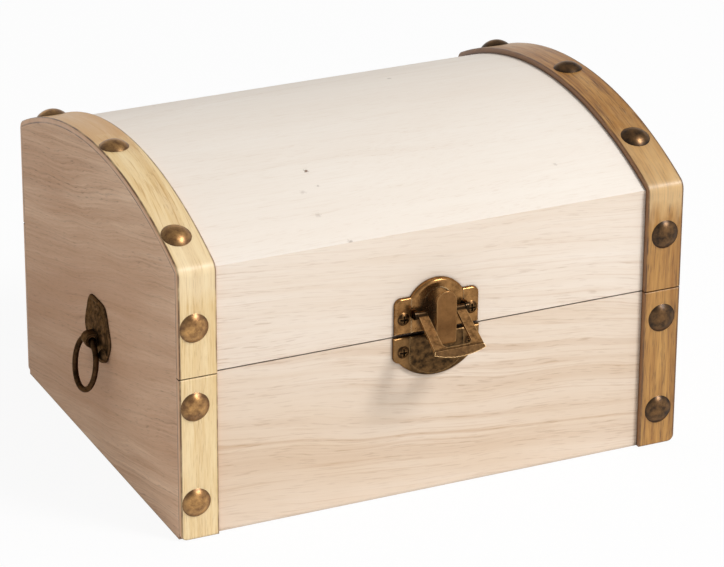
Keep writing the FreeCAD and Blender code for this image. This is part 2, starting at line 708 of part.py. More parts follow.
lip = prism(
    [
        line(left_bend, right_bend),
        line(right_bend, right_tip),
        arc(right_tip, latch(0, sheet_out, lip_up - FLAP_LIP_BULGE), left_tip),
        line(left_tip, left_bend),
    ],
    Vector(0, -FLAP_SHEET, 0),
)
hinge_line = latch(0, PIVOT_OUT, bend_up)
lip.rotate(hinge_line, Vector(-1, 0, 0), FLAP_LIP_ANGLE)
flap = frame.fuse(lip)
flap = flap.fuse(across(FLAP_SHEET / 2, (-FLAP_TAIL_HALF, FLAP_TAIL_HALF), PIVOT_OUT, bend_up))
for way in (-1, 1):
    arm = sorted((way * FLAP_ARM_INNER, way * FLAP_ARM_OUTER))
    stub = sorted((way * FLAP_ARM_OUTER, way * LUG_END))
    flap = flap.fuse(across(FLAP_CURL_RADIUS, arm, PIVOT_OUT, PIVOT_UP))
    flap = flap.fuse(across(PIVOT_RADIUS, stub, PIVOT_OUT, PIVOT_UP))
flap.rotate(latch(0, PIVOT_OUT, PIVOT_UP), Vector(-1, 0, 0), FLAP_RAISED)
parts["latch_flap"] = only_solid(flap.removeSplitter())


def pull(out, y, up):
    return Vector(HALF_WIDTH + out, PULL_Y + y, SPLIT_HEIGHT + up)


def pull_outline(share, out):
    """Winged shield outline, drawn to a share of its size about the eye."""
    def point(y, up):
        return pull(out, share * y, EYE_UP + share * (up - EYE_UP))
    right = [point(0, PULL_TOP)] + [point(y, up) for y, up in PULL_OUTLINE] + [point(0, PULL_FOOT)]
    left = [point(0, PULL_TOP)] + [point(-y, up) for y, up in PULL_OUTLINE] + [point(0, PULL_FOOT)]
    edges = []
    for half in (right, left):
        curve = Part.BSplineCurve()
        curve.interpolate(half)
        edges.append(curve.toShape())
    return edges


# Ring pull on the right end; the left one is its mirror image
shield = prism(pull_outline(1.0, 0), Vector(PULL_SHEET, 0, 0))
shield = shield.fuse(prism(pull_outline(PULL_RELIEF_SHARE, 0), Vector(PULL_RELIEF, 0, 0)))
sphere = (PAD_RADIUS ** 2 + PAD_HEIGHT ** 2) / (2 * PAD_HEIGHT)
for way in (-1, 1):
    stem = Part.makeCylinder(PAD_RADIUS, PAD_HEIGHT, pull(0, way * PAD_Y, PAD_UP), ALONG)
    ball = Part.makeSphere(sphere, pull(PAD_HEIGHT - sphere, way * PAD_Y, PAD_UP))
    shield = shield.fuse(stem.common(ball))
shield = only_solid(drilled(shield, pull_holes["right"]))

eye_body = box(
    (HALF_WIDTH + PULL_RELIEF, HALF_WIDTH + EYE_OUT),
    (PULL_Y - EYE_HALF, PULL_Y + EYE_HALF),
    (eye_level - EYE_RADIUS, eye_level + EYE_RADIUS),
)
eye_body = eye_body.fuse(
    Part.makeCylinder(EYE_RADIUS, 2 * EYE_HALF, pull(EYE_OUT, -EYE_HALF, EYE_UP), Vector(0, 1, 0))
)
eye_body = eye_body.cut(
    Part.makeCylinder(EYE_BORE, 4 * EYE_HALF, pull(EYE_OUT, -2 * EYE_HALF, EYE_UP), Vector(0, 1, 0))
)
eye_body = eye_body.common(
    box(
        (HALF_WIDTH + PULL_RELIEF, HALF_WIDTH + EYE_OUT + EYE_RADIUS),
        (PULL_Y - EYE_HALF, PULL_Y + EYE_HALF),
        (eye_level - EYE_RADIUS, eye_level + EYE_RADIUS),
    )
)
shank = Part.makeCylinder(
    EYE_SHANK_RADIUS,
    END_THICKNESS + PULL_RELIEF + EYE_TAIL_THICKNESS,
    pull(PULL_RELIEF, 0, EYE_UP),
    Vector(-1, 0, 0),
)
tail = box(
    (INNER_HALF - EYE_TAIL_THICKNESS, INNER_HALF),
    (PULL_Y - EYE_TAIL, PULL_Y + EYE_TAIL),
    (eye_level - EYE_SHANK_RADIUS, eye_level + EYE_SHANK_RADIUS),
)
eye = only_solid(eye_body.fuse(shank).fuse(tail).removeSplitter())

ring_centre = pull(EYE_OUT, 0, EYE_UP - RING_RADIUS)
ring = Part.makeTorus(RING_RADIUS, RING_WIRE, ring_centre, ALONG)
ring.rotate(pull(EYE_OUT, 0, EYE_UP), Vector(0, -1, 0), RING_LEAN)

pin = pin_nail(**PULL_PIN)
pins = [placed(pin, pull(PULL_SHEET, 0, pin_up), ALONG) for pin_up in PULL_PIN_UPS]

for name, shape in (("plate", shield), ("eye", eye), ("ring", ring), ("pins", Part.makeCompound(pins))):
    parts["right_pull_" + name] = shape
    parts["left_pull_" + name] = mirrored(shape)

os.makedirs("parts", exist_ok=True)
for name, shape in parts.items():
    assert shape.isValid(), name
    shape.exportStep("parts/" + name + ".step")
    print(name, len(shape.Solids), round(shape.Volume, 1))
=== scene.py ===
# %% [markdown]
# # A domed wooden keepsake chest
# The real thing is a small chest of raw, sanded wood: pale panels, a bent veneer top, golden strap
# bands, dome-headed nails, a browned brass latch and a dark ring pull on each end. The solids come from
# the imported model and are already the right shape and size, so this lesson is mostly about finishes:
# wood whose grain runs the way each board was cut, and brass that has been dipped, rubbed and handled.

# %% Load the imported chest
import math

import bpy
from mathutils import Matrix, Vector


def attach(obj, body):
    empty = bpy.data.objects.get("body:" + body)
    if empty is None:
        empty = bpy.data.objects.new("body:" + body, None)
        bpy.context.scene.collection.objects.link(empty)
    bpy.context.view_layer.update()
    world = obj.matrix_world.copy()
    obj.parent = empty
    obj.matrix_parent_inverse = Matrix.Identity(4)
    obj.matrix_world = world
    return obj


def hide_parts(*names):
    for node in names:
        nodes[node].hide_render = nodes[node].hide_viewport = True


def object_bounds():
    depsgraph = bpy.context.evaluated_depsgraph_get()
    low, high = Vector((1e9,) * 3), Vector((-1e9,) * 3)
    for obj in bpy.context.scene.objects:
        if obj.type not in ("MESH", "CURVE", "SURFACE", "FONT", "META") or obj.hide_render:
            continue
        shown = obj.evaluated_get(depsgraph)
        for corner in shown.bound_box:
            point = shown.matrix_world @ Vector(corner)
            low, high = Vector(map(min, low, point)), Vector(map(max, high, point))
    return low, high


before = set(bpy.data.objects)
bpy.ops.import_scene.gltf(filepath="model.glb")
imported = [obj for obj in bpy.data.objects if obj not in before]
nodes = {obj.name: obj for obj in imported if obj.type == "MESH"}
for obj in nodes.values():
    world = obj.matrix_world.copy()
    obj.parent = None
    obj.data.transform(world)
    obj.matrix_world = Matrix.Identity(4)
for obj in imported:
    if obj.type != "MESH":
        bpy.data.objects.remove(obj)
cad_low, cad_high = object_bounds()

print("nodes", len(nodes), "box from", tuple(cad_low), "to", tuple(cad_high))

# %% [markdown]
# ## The camera
# The picture was taken from the front left, a little above the lid, with a long lens, so that upright
# edges stay almost parallel. A camera can be aimed by rotating it by hand or by building its three axes
# from an azimuth and an elevation. The axes are built here, because then each angle is a plain number
# that can be checked.

# %% Camera from its angles
CAMERA_AZIMUTH = -25.01
CAMERA_ELEVATION = 23.63
CAMERA_ROLL = 0.31
CAMERA_DISTANCE = 1.4217
AIM_RIGHT = 0.0066
AIM_UP = 0.0467
LENS_MM = 184.3
VIEW_END = 20


def camera_axes(azimuth, elevation, roll):
    """Unit vectors to the camera's right, up and back."""
    turn, rise, lean = (math.radians(angle) for angle in (azimuth, elevation, roll))
    back = Vector((math.sin(turn) * math.cos(rise), -math.cos(turn) * math.cos(rise), math.sin(rise)))
    level = Vector((math.cos(turn), math.sin(turn), 0))
    upright = back.cross(level)
    right = math.cos(lean) * level + math.sin(lean) * upright
    return right, back.cross(right), back


right, up, back = camera_axes(CAMERA_AZIMUTH, CAMERA_ELEVATION, CAMERA_ROLL)
place = right * AIM_RIGHT + up * AIM_UP + back * CAMERA_DISTANCE
lens = bpy.data.cameras.new("camera")
lens.lens = LENS_MM
lens.clip_end = VIEW_END
camera = bpy.data.objects.new("camera", lens)
camera.matrix_world = Matrix.Translation(place) @ Matrix((right, up, back)).transposed().to_4x4()
bpy.context.scene.collection.objects.link(camera)
bpy.context.scene.camera = camera
print("camera at", tuple(round(v, 4) for v in place))

# %% [markdown]
# ## Node helpers
# Every finish below is a node tree. It could be wired by hand in the shader editor, but then nobody could
# read it here, and adding nodes one call at a time is long. So these few helpers make a node, set or link
# its inputs, and give back the output that the next node needs.

# %% Helpers that add shader nodes
def feed(tree, socket, value):
    """Links an output to a socket, or sets the socket's own value."""
    if isinstance(value, bpy.types.NodeSocket):
        tree.links.new(value, socket)
    else:
        socket.default_value = value


def shader_node(tree, kind, inputs=None, **settings):
    made = tree.nodes.new("ShaderNode" + kind)
    for name, value in settings.items():
        setattr(made, name, value)
    for key, value in (inputs or {}).items():
        feed(tree, made.inputs[key], value)
    return made


def calc(tree, operation, a, b=0.0):
    return shader_node(tree, "Math", {0: a, 1: b}, operation=operation).outputs[0]


def spread(tree, value, low, high, to_low=0.0, to_high=1.0):
    """Maps a range to another and holds it at its ends."""
    ends = {1: low, 2: high, 3: to_low, 4: to_high}
    return shader_node(tree, "MapRange", {0: value, **ends}).outputs[0]


def swing(tree, value, reach):
    """Turns a noise from 0 to 1 into a shift to either side."""
    return calc(tree, "MULTIPLY", calc(tree, "SUBTRACT", value, 0.5), reach)


def noise(tree, vector, scale, detail=2.0, roughness=0.5):
    settings = {"Vector": vector, "Scale": scale, "Detail": detail, "Roughness": roughness}
    return shader_node(tree, "TexNoise", settings).outputs[0]


def tint(tree, share, a, b):
    """Mixes two colours."""
    return shader_node(tree, "Mix", {0: share, 6: a, 7: b}, data_type="RGBA").outputs[2]


print("value helpers", calc.__name__, spread.__name__, swing.__name__, noise.__name__, tint.__name__)

# %% [markdown]
# ## Places on the chest
# Grain, glue and grime follow places on the chest. Many finishes therefore take a position apart, stretch
# it along one axis or measure how far it lies from a point. Each of these is one node with a plain name.

# %% Helpers for vectors
def axes_of(tree, vector):
    return shader_node(tree, "SeparateXYZ", {0: vector}).outputs


def vector_of(tree, x, y, z):
    return shader_node(tree, "CombineXYZ", {0: x, 1: y, 2: z}).outputs[0]


def stretch(tree, vector, factors):
    return shader_node(tree, "VectorMath", {0: vector, 1: factors}, operation="MULTIPLY").outputs[0]


def distance(tree, a, b):
    return shader_node(tree, "VectorMath", {0: a, 1: b}, operation="DISTANCE").outputs["Value"]


print("vector helpers", axes_of.__name__, vector_of.__name__, stretch.__name__, distance.__name__)

# %% [markdown]
# ## Colours, groups and materials
# A maker picks colours as they look on a screen, and shaders expect linear light, so colours are turned
# from one into the other. A group is an effect that several finishes share, with named sockets. A material
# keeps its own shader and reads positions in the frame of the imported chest, in metres.

# %% Colours, groups and materials
def colour(red, green, blue):
    """Screen colour from 0 to 255 as linear RGBA."""
    def linear(value):
        value = value / 255
        return value / 12.92 if value <= 0.04045 else ((value + 0.055) / 1.055) ** 2.4
    return (linear(red), linear(green), linear(blue), 1.0)


def new_group(name, inputs, outputs):
    """Empty shader group with named sockets: inputs as {name: (kind, value)}, outputs all values."""
    tree = bpy.data.node_groups.new(name, "ShaderNodeTree")
    for label, (kind, value) in inputs.items():
        socket = tree.interface.new_socket(label, in_out="INPUT", socket_type="NodeSocket" + kind)
        if value is not None:
            socket.default_value = value
    for label in outputs:
        tree.interface.new_socket(label, in_out="OUTPUT", socket_type="NodeSocketFloat")
    given = tree.nodes.new("NodeGroupInput").outputs
    gives = tree.nodes.new("NodeGroupOutput").inputs
    return tree, given, gives


def new_material(name):
    """Material with an empty principled shader, its tree and its object coordinates."""
    made = bpy.data.materials.new(name)
    made.use_nodes = True
    tree = made.node_tree
    shader = tree.nodes["Principled BSDF"]
    coordinates = shader_node(tree, "TexCoord").outputs["Object"]
    return made, tree, shader, coordinates


print("white in linear light is", colour(255, 255, 255)[:3])

# %% [markdown]
# ## Wood figure
# A board shows its tree: growth rings cut at a slant make arches and bands, fibres make fine streaks, and
# the vessels of this light timber leave short dark dashes. A picture of wood would repeat and couldn't
# follow each board, so the figure is worked out in space. The group takes a vector in metres whose X runs
# along the grain, and first bends it a little, as real fibres bend round knots and branches.

# %% Wood figure group with its bent fibres
FIGURE_INPUTS = {
    "Vector": ("Vector", None),
    "Ring Width": ("Float", 0.005),
    "Pith Across": ("Float", 0.0),
    "Pith Depth": ("Float", 0.03),
    "Lean": ("Float", 0.05),
    "Dive": ("Float", 0.0),
    "Sway": ("Float", 0.006),
    "Fineness": ("Float", 1.0),
}
FIGURE_OUTPUTS = ("Late Wood", "Streaks", "Hairs", "Pores", "Tone")
SWAY_SCALE = 20.0
SWAY_STRETCH = (0.3, 1, 1)
RIPPLE_SCALE = 140.0
RIPPLE_STRETCH = (0.2, 1, 1)
RIPPLE_SHARE = 0.12
figure, given, gives = new_group("wood_figure", FIGURE_INPUTS, FIGURE_OUTPUTS)
along, across, depth = axes_of(figure, given["Vector"])
slow = noise(figure, stretch(figure, given["Vector"], SWAY_STRETCH), SWAY_SCALE)
quick = noise(figure, stretch(figure, given["Vector"], RIPPLE_STRETCH), RIPPLE_SCALE, detail=3)
sway = calc(figure, "ADD", calc(figure, "SUBTRACT", slow, 0.5), swing(figure, quick, RIPPLE_SHARE))
sway = calc(figure, "MULTIPLY", sway, given["Sway"])
leaning = calc(figure, "SUBTRACT", across, calc(figure, "MULTIPLY", along, given["Lean"]))
bent = calc(figure, "ADD", leaning, sway)
fibre = vector_of(figure, along, bent, depth)
print("fibres bend by noises of scale", SWAY_SCALE, "and", RIPPLE_SCALE)

# %% [markdown]
# ## Growth rings
# A tree adds one ring each year: pale early wood that fades into a dark line of late wood. The distance
# from the pith, divided by the ring's width, counts the rings, and its fraction runs through one year.
# Where the pith dives through the face of a board, the rings become the arches that joiners call
# cathedrals. Good years and bad years differ, so each ring draws its own strength by its number.

# %% Growth rings of the figure
DRIFT_SCALE = 95.0
DRIFT_RINGS = 3.0
ONE_YEAR = ((0.06, 0.15), (0.4, 0.0), (0.9, 1.0))
YEAR_END = 0.55
CHANCE_POWER = 1.6
FAINTEST_RING = 0.12
PATCH_SCALE = 30.0
PATCH_STRETCH = (0.5, 1, 1)
PATCH_RANGE = (0.4, 0.62, 0.4, 1)
sideways = calc(figure, "SUBTRACT", bent, given["Pith Across"])
pith_depth = calc(figure, "ADD", given["Pith Depth"], calc(figure, "MULTIPLY", along, given["Dive"]))
inwards = calc(figure, "SUBTRACT", depth, pith_depth)
square = calc(figure, "ADD", calc(figure, "POWER", sideways, 2), calc(figure, "POWER", inwards, 2))
radius = calc(figure, "SQRT", square)
out_from_pith = {"W": radius, "Scale": DRIFT_SCALE, "Detail": 2.0}
wandering = shader_node(figure, "TexNoise", out_from_pith, noise_dimensions="1D")
drift = calc(figure, "MULTIPLY", wandering.outputs[0], DRIFT_RINGS)
rings = calc(figure, "ADD", calc(figure, "DIVIDE", radius, given["Ring Width"]), drift)
year = shader_node(figure, "ValToRGB", {0: calc(figure, "FRACT", rings)})
year.color_ramp.interpolation = "EASE"
for share, strength in ONE_YEAR:
    year.color_ramp.elements.new(share).color = (strength, strength, strength, 1)
for end in (0, -1):
    year.color_ramp.elements[end].color = (YEAR_END, YEAR_END, YEAR_END, 1)
ring_number = {"W": calc(figure, "FLOOR", rings)}
chance = shader_node(figure, "TexWhiteNoise", ring_number, noise_dimensions="1D").outputs["Value"]
ring_strength = spread(figure, calc(figure, "POWER", chance, CHANCE_POWER), 0, 1, FAINTEST_RING, 1)
patch = noise(figure, stretch(figure, fibre, PATCH_STRETCH), PATCH_SCALE)
patch = spread(figure, patch, *PATCH_RANGE)
late_wood = calc(figure, "MULTIPLY", year.outputs[0], calc(figure, "MULTIPLY", ring_strength, patch))
feed(figure, gives["Late Wood"], late_wood)
print("stops in one year of growth", len(year.color_ramp.elements))

# %% [markdown]
# ## Fibres, pores and tone
# Between the rings the eye sees fibres: long streaks, hairs that are longer still, and the short dashes of
# open pores, which crowd into the late wood. All are noises drawn out along the grain. A slow noise on top
# makes whole areas of a board paler or darker.

# %% Streaks, pores and tone of the figure
STREAK_SCALE = 700.0
STREAK_STRETCH = (0.03, 1, 1)
STREAK_RANGE = (0.34, 0.66)
FINE_SHARE = 0.5
BAND_SCALE = 170.0
BAND_STRETCH = (0.06, 1, 1)
BROAD_SHARE = 0.5
HAIR_SCALE = 1150.0
HAIR_STRETCH = (0.014, 1, 1)
HAIR_RANGE = (0.55, 0.7)
PORE_SCALE = 1900.0
PORE_STRETCH = (0.07, 1, 1)
PORE_RANGE = (0.58, 0.7)
PORES_IN_EARLY_WOOD = 0.35
ALL_PORES_FROM = 0.5
TONE_SCALE = 24.0
TONE_STRETCH = (0.25, 1, 1)
TONE_RANGE = (0.32, 0.68)
finer = {0: fibre, "Scale": given["Fineness"]}
fine_fibre = shader_node(figure, "VectorMath", finer, operation="SCALE").outputs[0]
fine = noise(figure, stretch(figure, fine_fibre, STREAK_STRETCH), STREAK_SCALE, detail=5, roughness=0.65)
broad = noise(figure, stretch(figure, fibre, BAND_STRETCH), BAND_SCALE, detail=3)
fine = calc(figure, "MULTIPLY", fine, FINE_SHARE)
broad = calc(figure, "MULTIPLY", broad, BROAD_SHARE)
streaks = calc(figure, "ADD", fine, broad)
hairs = noise(figure, stretch(figure, fine_fibre, HAIR_STRETCH), HAIR_SCALE)
dashes = noise(figure, stretch(figure, fine_fibre, PORE_STRETCH), PORE_SCALE, detail=1)
in_late_wood = spread(figure, late_wood, 0, ALL_PORES_FROM, PORES_IN_EARLY_WOOD, 1)
pores = calc(figure, "MULTIPLY", spread(figure, dashes, *PORE_RANGE), in_late_wood)
tone = noise(figure, stretch(figure, fibre, TONE_STRETCH), TONE_SCALE, detail=3)
feed(figure, gives["Streaks"], spread(figure, streaks, *STREAK_RANGE))
feed(figure, gives["Hairs"], calc(figure, "MULTIPLY", spread(figure, hairs, *HAIR_RANGE), patch))
feed(figure, gives["Pores"], pores)
feed(figure, gives["Tone"], spread(figure, tone, *TONE_RANGE))
print("wood figure nodes", len(figure.nodes))

# %% [markdown]
# ## Edges and corners
# Wood and metal change in the same places. Raised edges are rubbed bright, and corners turn dark: soil on the
# metal, and painted shade on the wood. Vertex curvature needs an even mesh, which a CAD model doesn't have,
# so this group compares the surface with a rounded copy of itself to find the edges, and uses ambient
# occlusion to find the corners.

# %% Edges and corners group
EDGE_RANGE = (0.02, 0.25)
OPEN_RANGE = (0.55, 0.9)
SOIL_RANGE = (0.85, 0.35)
RUB_INPUTS = {"Rub Width": ("Float", 0.0004), "Soil Reach": ("Float", 0.0015)}
edge_corner_group, given, gives = new_group("edges_and_corners", RUB_INPUTS, ("Rub", "Soil"))
rounded = shader_node(edge_corner_group, "Bevel", {"Radius": given["Rub Width"]}, samples=4).outputs[0]
facing = shader_node(edge_corner_group, "NewGeometry").outputs["Normal"]
agree = shader_node(edge_corner_group, "VectorMath", {0: rounded, 1: facing}, operation="DOT_PRODUCT")
edge = spread(edge_corner_group, calc(edge_corner_group, "SUBTRACT", 1.0, agree.outputs["Value"]), *EDGE_RANGE)
corner = shader_node(edge_corner_group, "AmbientOcclusion", {"Distance": given["Soil Reach"]}, samples=6)
openness = corner.outputs["AO"]
in_the_open = spread(edge_corner_group, openness, *OPEN_RANGE)
feed(edge_corner_group, gives["Rub"], calc(edge_corner_group, "MULTIPLY", edge, in_the_open))
feed(edge_corner_group, gives["Soil"], spread(edge_corner_group, openness, *SOIL_RANGE))
print("rub and soil nodes", len(edge_corner_group.nodes))

# %% [markdown]
# ## Raw wood
# Each board takes the same group with its own pith, ring width and colours, so that no two boards match.
# The other choice is which way the grain runs: along the front for panels, and front to back for the ends.
# Touches are small functions that change the colour at one place on the chest, and come after the figure.

# %% Raw wood material
WOOD_LAYERS = ("Tone", "Streaks", "Late Wood", "Hairs", "Pores")
CORNER_SHADE_BROWN = colour(70, 47, 30)
CORNER_SHADE_REACH = 0.0018
CORNER_SHADE_SHARE = 0.55
ROUGHER_STREAKS = 0.14
GRAIN_DEPTH = 0.00006
GRAIN_STRENGTH = 0.5
STREAK_HEIGHT = 0.5


def along_front(tree, coordinates):
    x, y, z = axes_of(tree, coordinates)
    return vector_of(tree, x, z, y)


def along_end(tree, coordinates):
    x, y, z = axes_of(tree, coordinates)
    return vector_of(tree, y, z, x)


def raw_wood(name, runs, colours, strengths, roughness, touches=(), **board):
    """Sanded wood. Colours: pale, tan, late wood, pore. Strengths follow WOOD_LAYERS."""
    made, tree, shader, coordinates = new_material(name)
    settings = {key.replace("_", " ").title(): value for key, value in board.items()}
    settings["Vector"] = runs(tree, coordinates)
    masks = shader_node(tree, "Group", settings, node_tree=figure).outputs
    paint, tan, dark, pore = colours
    for mask, strength, layer in zip(WOOD_LAYERS, strengths, (tan, tan, dark, dark, pore)):
        paint = tint(tree, calc(tree, "MULTIPLY", masks[mask], strength), paint, layer)
    for touch in touches:
        paint = touch(tree, coordinates, paint)
    # Occlusion darkens corners and gaps of the wood towards brown: painted shade.
    corners = shader_node(tree, "Group", {"Soil Reach": CORNER_SHADE_REACH}, node_tree=edge_corner_group)
    soil_and_shade = calc(tree, "MULTIPLY", corners.outputs["Soil"], CORNER_SHADE_SHARE)
    feed(tree, shader.inputs["Base Color"], tint(tree, soil_and_shade, paint, CORNER_SHADE_BROWN))
    matt = spread(tree, masks["Streaks"], 0, 1, roughness, roughness + ROUGHER_STREAKS)
    feed(tree, shader.inputs["Roughness"], matt)
    raised = calc(tree, "MULTIPLY", masks["Streaks"], STREAK_HEIGHT)
    height = calc(tree, "SUBTRACT", raised, masks["Pores"])
    grain = {"Height": height, "Strength": GRAIN_STRENGTH, "Distance": GRAIN_DEPTH}
    feed(tree, shader.inputs["Normal"], shader_node(tree, "Bump", grain).outputs[0])
    return made


print("raw wood layers", WOOD_LAYERS)

# %% [markdown]
# ## Shade by the latch
# The narrow strip of wood between the latch's two plates is painted darker, as the shade that the lid plate
# throws on it. It could be a second material on a cut-out face, but the solid's faces stay as they are, so a
# mask picks the strip by its place: each limit fades in over a fraction of a millimetre.

# %% Painted shade between the latch plates
LATCH_MIDDLE = 0.0005
GAP_SHADE_SCALE = 700
GAP_SHADE_MOTTLE = (0.3, 0.6, 0.7, 0.95)
GAP_SHADE_SIDES = (0.0177, 0.0161)
GAP_SHADE_FOOT = (0.0624, 0.0632)
GAP_SHADE_TOP = (0.0649, 0.0641)
GAP_SHADE_FRONT = (-0.0755, -0.0761)


def beside_latch(tree, coordinates):
    """Distance to either side of the latch's middle."""
    across = axes_of(tree, coordinates)[0]
    return calc(tree, "ABSOLUTE", calc(tree, "SUBTRACT", across, LATCH_MIDDLE))


# Paints the lid plate's shade on the strip of wood between the two plates.
def latch_gap_shade(tree, coordinates, paint):
    depth, height = axes_of(tree, coordinates)[1:3]
    mark = spread(tree, noise(tree, coordinates, GAP_SHADE_SCALE, detail=3), *GAP_SHADE_MOTTLE)
    places = (beside_latch(tree, coordinates), height, height, depth)
    for place, (none, full) in zip(places, (GAP_SHADE_SIDES, GAP_SHADE_FOOT, GAP_SHADE_TOP, GAP_SHADE_FRONT)):
        mark = calc(tree, "MULTIPLY", mark, spread(tree, place, none, full))
    return tint(tree, mark, paint, CORNER_SHADE_BROWN)


print("grime from", GAP_SHADE_FOOT[0], "to", GAP_SHADE_TOP[0], "m up")

# %% [markdown]
# ## The boards
# The front rail of the lid is quiet and pale, and the front of the base shows broad arches. The left end,
# which sits in the shade, takes a redder copy of the end wood, partly painted warm shade; the right end,
# which faces the lamp, takes the paler copy.

# %% Woods of the panels and ends
PANEL_COLOURS = (colour(240, 227, 213), colour(222, 198, 172), colour(196, 160, 124), colour(170, 134, 102))
SHADED_END_COLOURS = (colour(255, 220, 186), colour(204, 158, 122), colour(146, 104, 75), colour(112, 75, 52))
PALE_END_COLOURS = (colour(244, 219, 194), colour(212, 180, 150), colour(168, 132, 104), colour(132, 98, 74))
lid_front_wood = raw_wood(
    "lid_front_wood", along_front, PANEL_COLOURS,
    strengths=(0.3, 0.34, 0.14, 0.25, 0.3), roughness=0.6, touches=(latch_gap_shade,),
    ring_width=0.0052, pith_across=0.14, pith_depth=-0.05, lean=-0.10, sway=0.016,
)
base_front_wood = raw_wood(
    "base_front_wood", along_front, PANEL_COLOURS,
    strengths=(0.85, 0.5, 0.6, 0.4, 0.4), roughness=0.6, touches=(latch_gap_shade,),
    ring_width=0.0075, pith_across=-0.012, pith_depth=-0.06, lean=-0.11, dive=0.03, sway=0.016,
)
# Redder colours for the left end, partly painted warm shade.
end_wood = raw_wood(
    "end_wood", along_end, SHADED_END_COLOURS,
    strengths=(0.9, 0.8, 0.3, 0.2, 0.45), roughness=0.62,
    ring_width=0.0024, pith_across=0.30, pith_depth=-0.05, lean=-0.27, dive=0.05, sway=0.022, fineness=1.5,
)
pale_end_wood = raw_wood(
    "pale_end_wood", along_end, PALE_END_COLOURS,
    strengths=(0.9, 0.55, 0.3, 0.2, 0.4), roughness=0.62,
    ring_width=0.0030, pith_across=0.26, pith_depth=0.05, lean=0.16, dive=-0.04, sway=0.020,
)
print("woods", [made.name for made in (lid_front_wood, base_front_wood, end_wood, pale_end_wood)])

# %% [markdown]
# ## The veneer of the dome
# The top is a thin bent sheet of the palest wood, almost without figure, but with a few pin knots where
# small twigs once grew. Painting knots by chance would put them anywhere, so a short list of places sets
# them: each is a dark dot of its own size, feathered by a noise, in the colour layer only.

# %% Veneer with pin knots
PIN_KNOTS = (
    (-0.0339, -0.0397, 0.1169, 0.0011, 0.95),
    (-0.0333, -0.0488, 0.1144, 0.0008, 0.35),
    (-0.0400, -0.0506, 0.1139, 0.0012, 0.22),
    (-0.0395, -0.0627, 0.1095, 0.0013, 0.22),
    (0.0573, -0.0580, 0.1113, 0.0009, 0.22),
    (-0.0330, -0.0762, 0.1032, 0.0012, 0.45),
    (0.0310, 0.0280, 0.1190, 0.0010, 0.60),
    (-0.0560, 0.0510, 0.1137, 0.0009, 0.45),
)
KNOT_BROWN = colour(112, 78, 52)
KNOT_CORE = 0.3
FEATHER_SCALE = 1500
FEATHER = (0.3, 0.7, 0.6, 1.5)


def pin_knots(tree, coordinates, paint):
    feather = spread(tree, noise(tree, coordinates, FEATHER_SCALE), *FEATHER)
    for x, y, z, size, strength in PIN_KNOTS:
        away = calc(tree, "MULTIPLY", distance(tree, coordinates, (x, y, z)), feather)
        paint = tint(tree, spread(tree, away, size, size * KNOT_CORE, to_high=strength), paint, KNOT_BROWN)
    return paint


VENEER_COLOURS = (colour(243, 234, 223), colour(236, 223, 209), colour(222, 202, 182), colour(208, 184, 160))
dome_wood = raw_wood(
    "dome_wood", along_front, VENEER_COLOURS,
    strengths=(0.55, 0.4, 0.12, 0.14, 0.25), roughness=0.55, touches=(pin_knots,),
    ring_width=0.009, pith_across=0.09, pith_depth=0.0, lean=0.05, sway=0.03,
)
print("pin knots", len(PIN_KNOTS))

# %% [markdown]
# ## Strap bands
# The bands are strips of a yellower wood with long straight fibres, bent over the lid. On a bent strip
# height plus depth grows all the way from the front foot over the dome, so that sum serves as the length
# along it. Bending and handling leave their marks: the sharp bend at the shoulder is rubbed pale, twice as
# far up the dome as down the front, and a broken brown line of stain runs along both long edges.

# %% Length, bend and edges of the strips
STRAP_OUTER = 0.1000
STRAP_INNER = 0.0852
SHOULDER = 0.1000
STAIN_BROWN = colour(92, 60, 34)
OUTER_STAIN = (0.0010, 0.0006)
INNER_STAIN = (0.0009, 0.0004)
STAIN_SCALE = 120
STAIN_BREAKS = (0.3, 0.55, 0.35, 0.95)
BEND_SCALE = 260
BEND_STRETCH = (1, 0.3, 0.3)
BEND_WANDER = 0.016
BEND_REACH = (0.010, 0.002)
UP_THE_DOME = 0.5
DOWN_THE_FRONT = -1.0
THICKNESS_SHARE = 0.05


def along_strip(tree, coordinates):
    x, y, z = axes_of(tree, coordinates)
    thickness = calc(tree, "MULTIPLY", calc(tree, "SUBTRACT", z, y), THICKNESS_SHARE)
    return vector_of(tree, calc(tree, "ADD", y, z), x, thickness)


def rubbed_bend(pale, strength):
    def touch(tree, coordinates, paint):
        patchy = noise(tree, stretch(tree, coordinates, BEND_STRETCH), BEND_SCALE, detail=3)
        height = calc(tree, "ADD", axes_of(tree, coordinates)[2], swing(tree, patchy, BEND_WANDER))
        above = calc(tree, "SUBTRACT", height, SHOULDER)
        up_and_down = [calc(tree, "MULTIPLY", above, share) for share in (UP_THE_DOME, DOWN_THE_FRONT)]
        away = calc(tree, "MAXIMUM", *up_and_down)
        return tint(tree, spread(tree, away, *BEND_REACH, to_high=strength), paint, pale)
    return touch


def stained_edges(tree, coordinates, paint):
    reach = calc(tree, "ABSOLUTE", axes_of(tree, coordinates)[0])
    outer = spread(tree, reach, *(STRAP_OUTER - inset for inset in OUTER_STAIN))
    inner = spread(tree, reach, *(STRAP_INNER + inset for inset in INNER_STAIN))
    broken = spread(tree, noise(tree, coordinates, STAIN_SCALE, detail=4), *STAIN_BREAKS)
    line = calc(tree, "MULTIPLY", calc(tree, "MAXIMUM", outer, inner), broken)
    return tint(tree, line, paint, STAIN_BROWN)


print("strips", round(STRAP_OUTER - STRAP_INNER, 4), "m wide, bent at", SHOULDER)

# %% [markdown]
# ## Sides, glue and sunlight
# Three more touches: the sawn sides have another tone than the planed face, a thin brown line of glue
# shows where the strip lies on the panels, and the golden strip is browner behind the crown, where less
# light has bleached it. The glue line needs the distance from the panels, which is one formula on the flat
# faces and another on the dome.

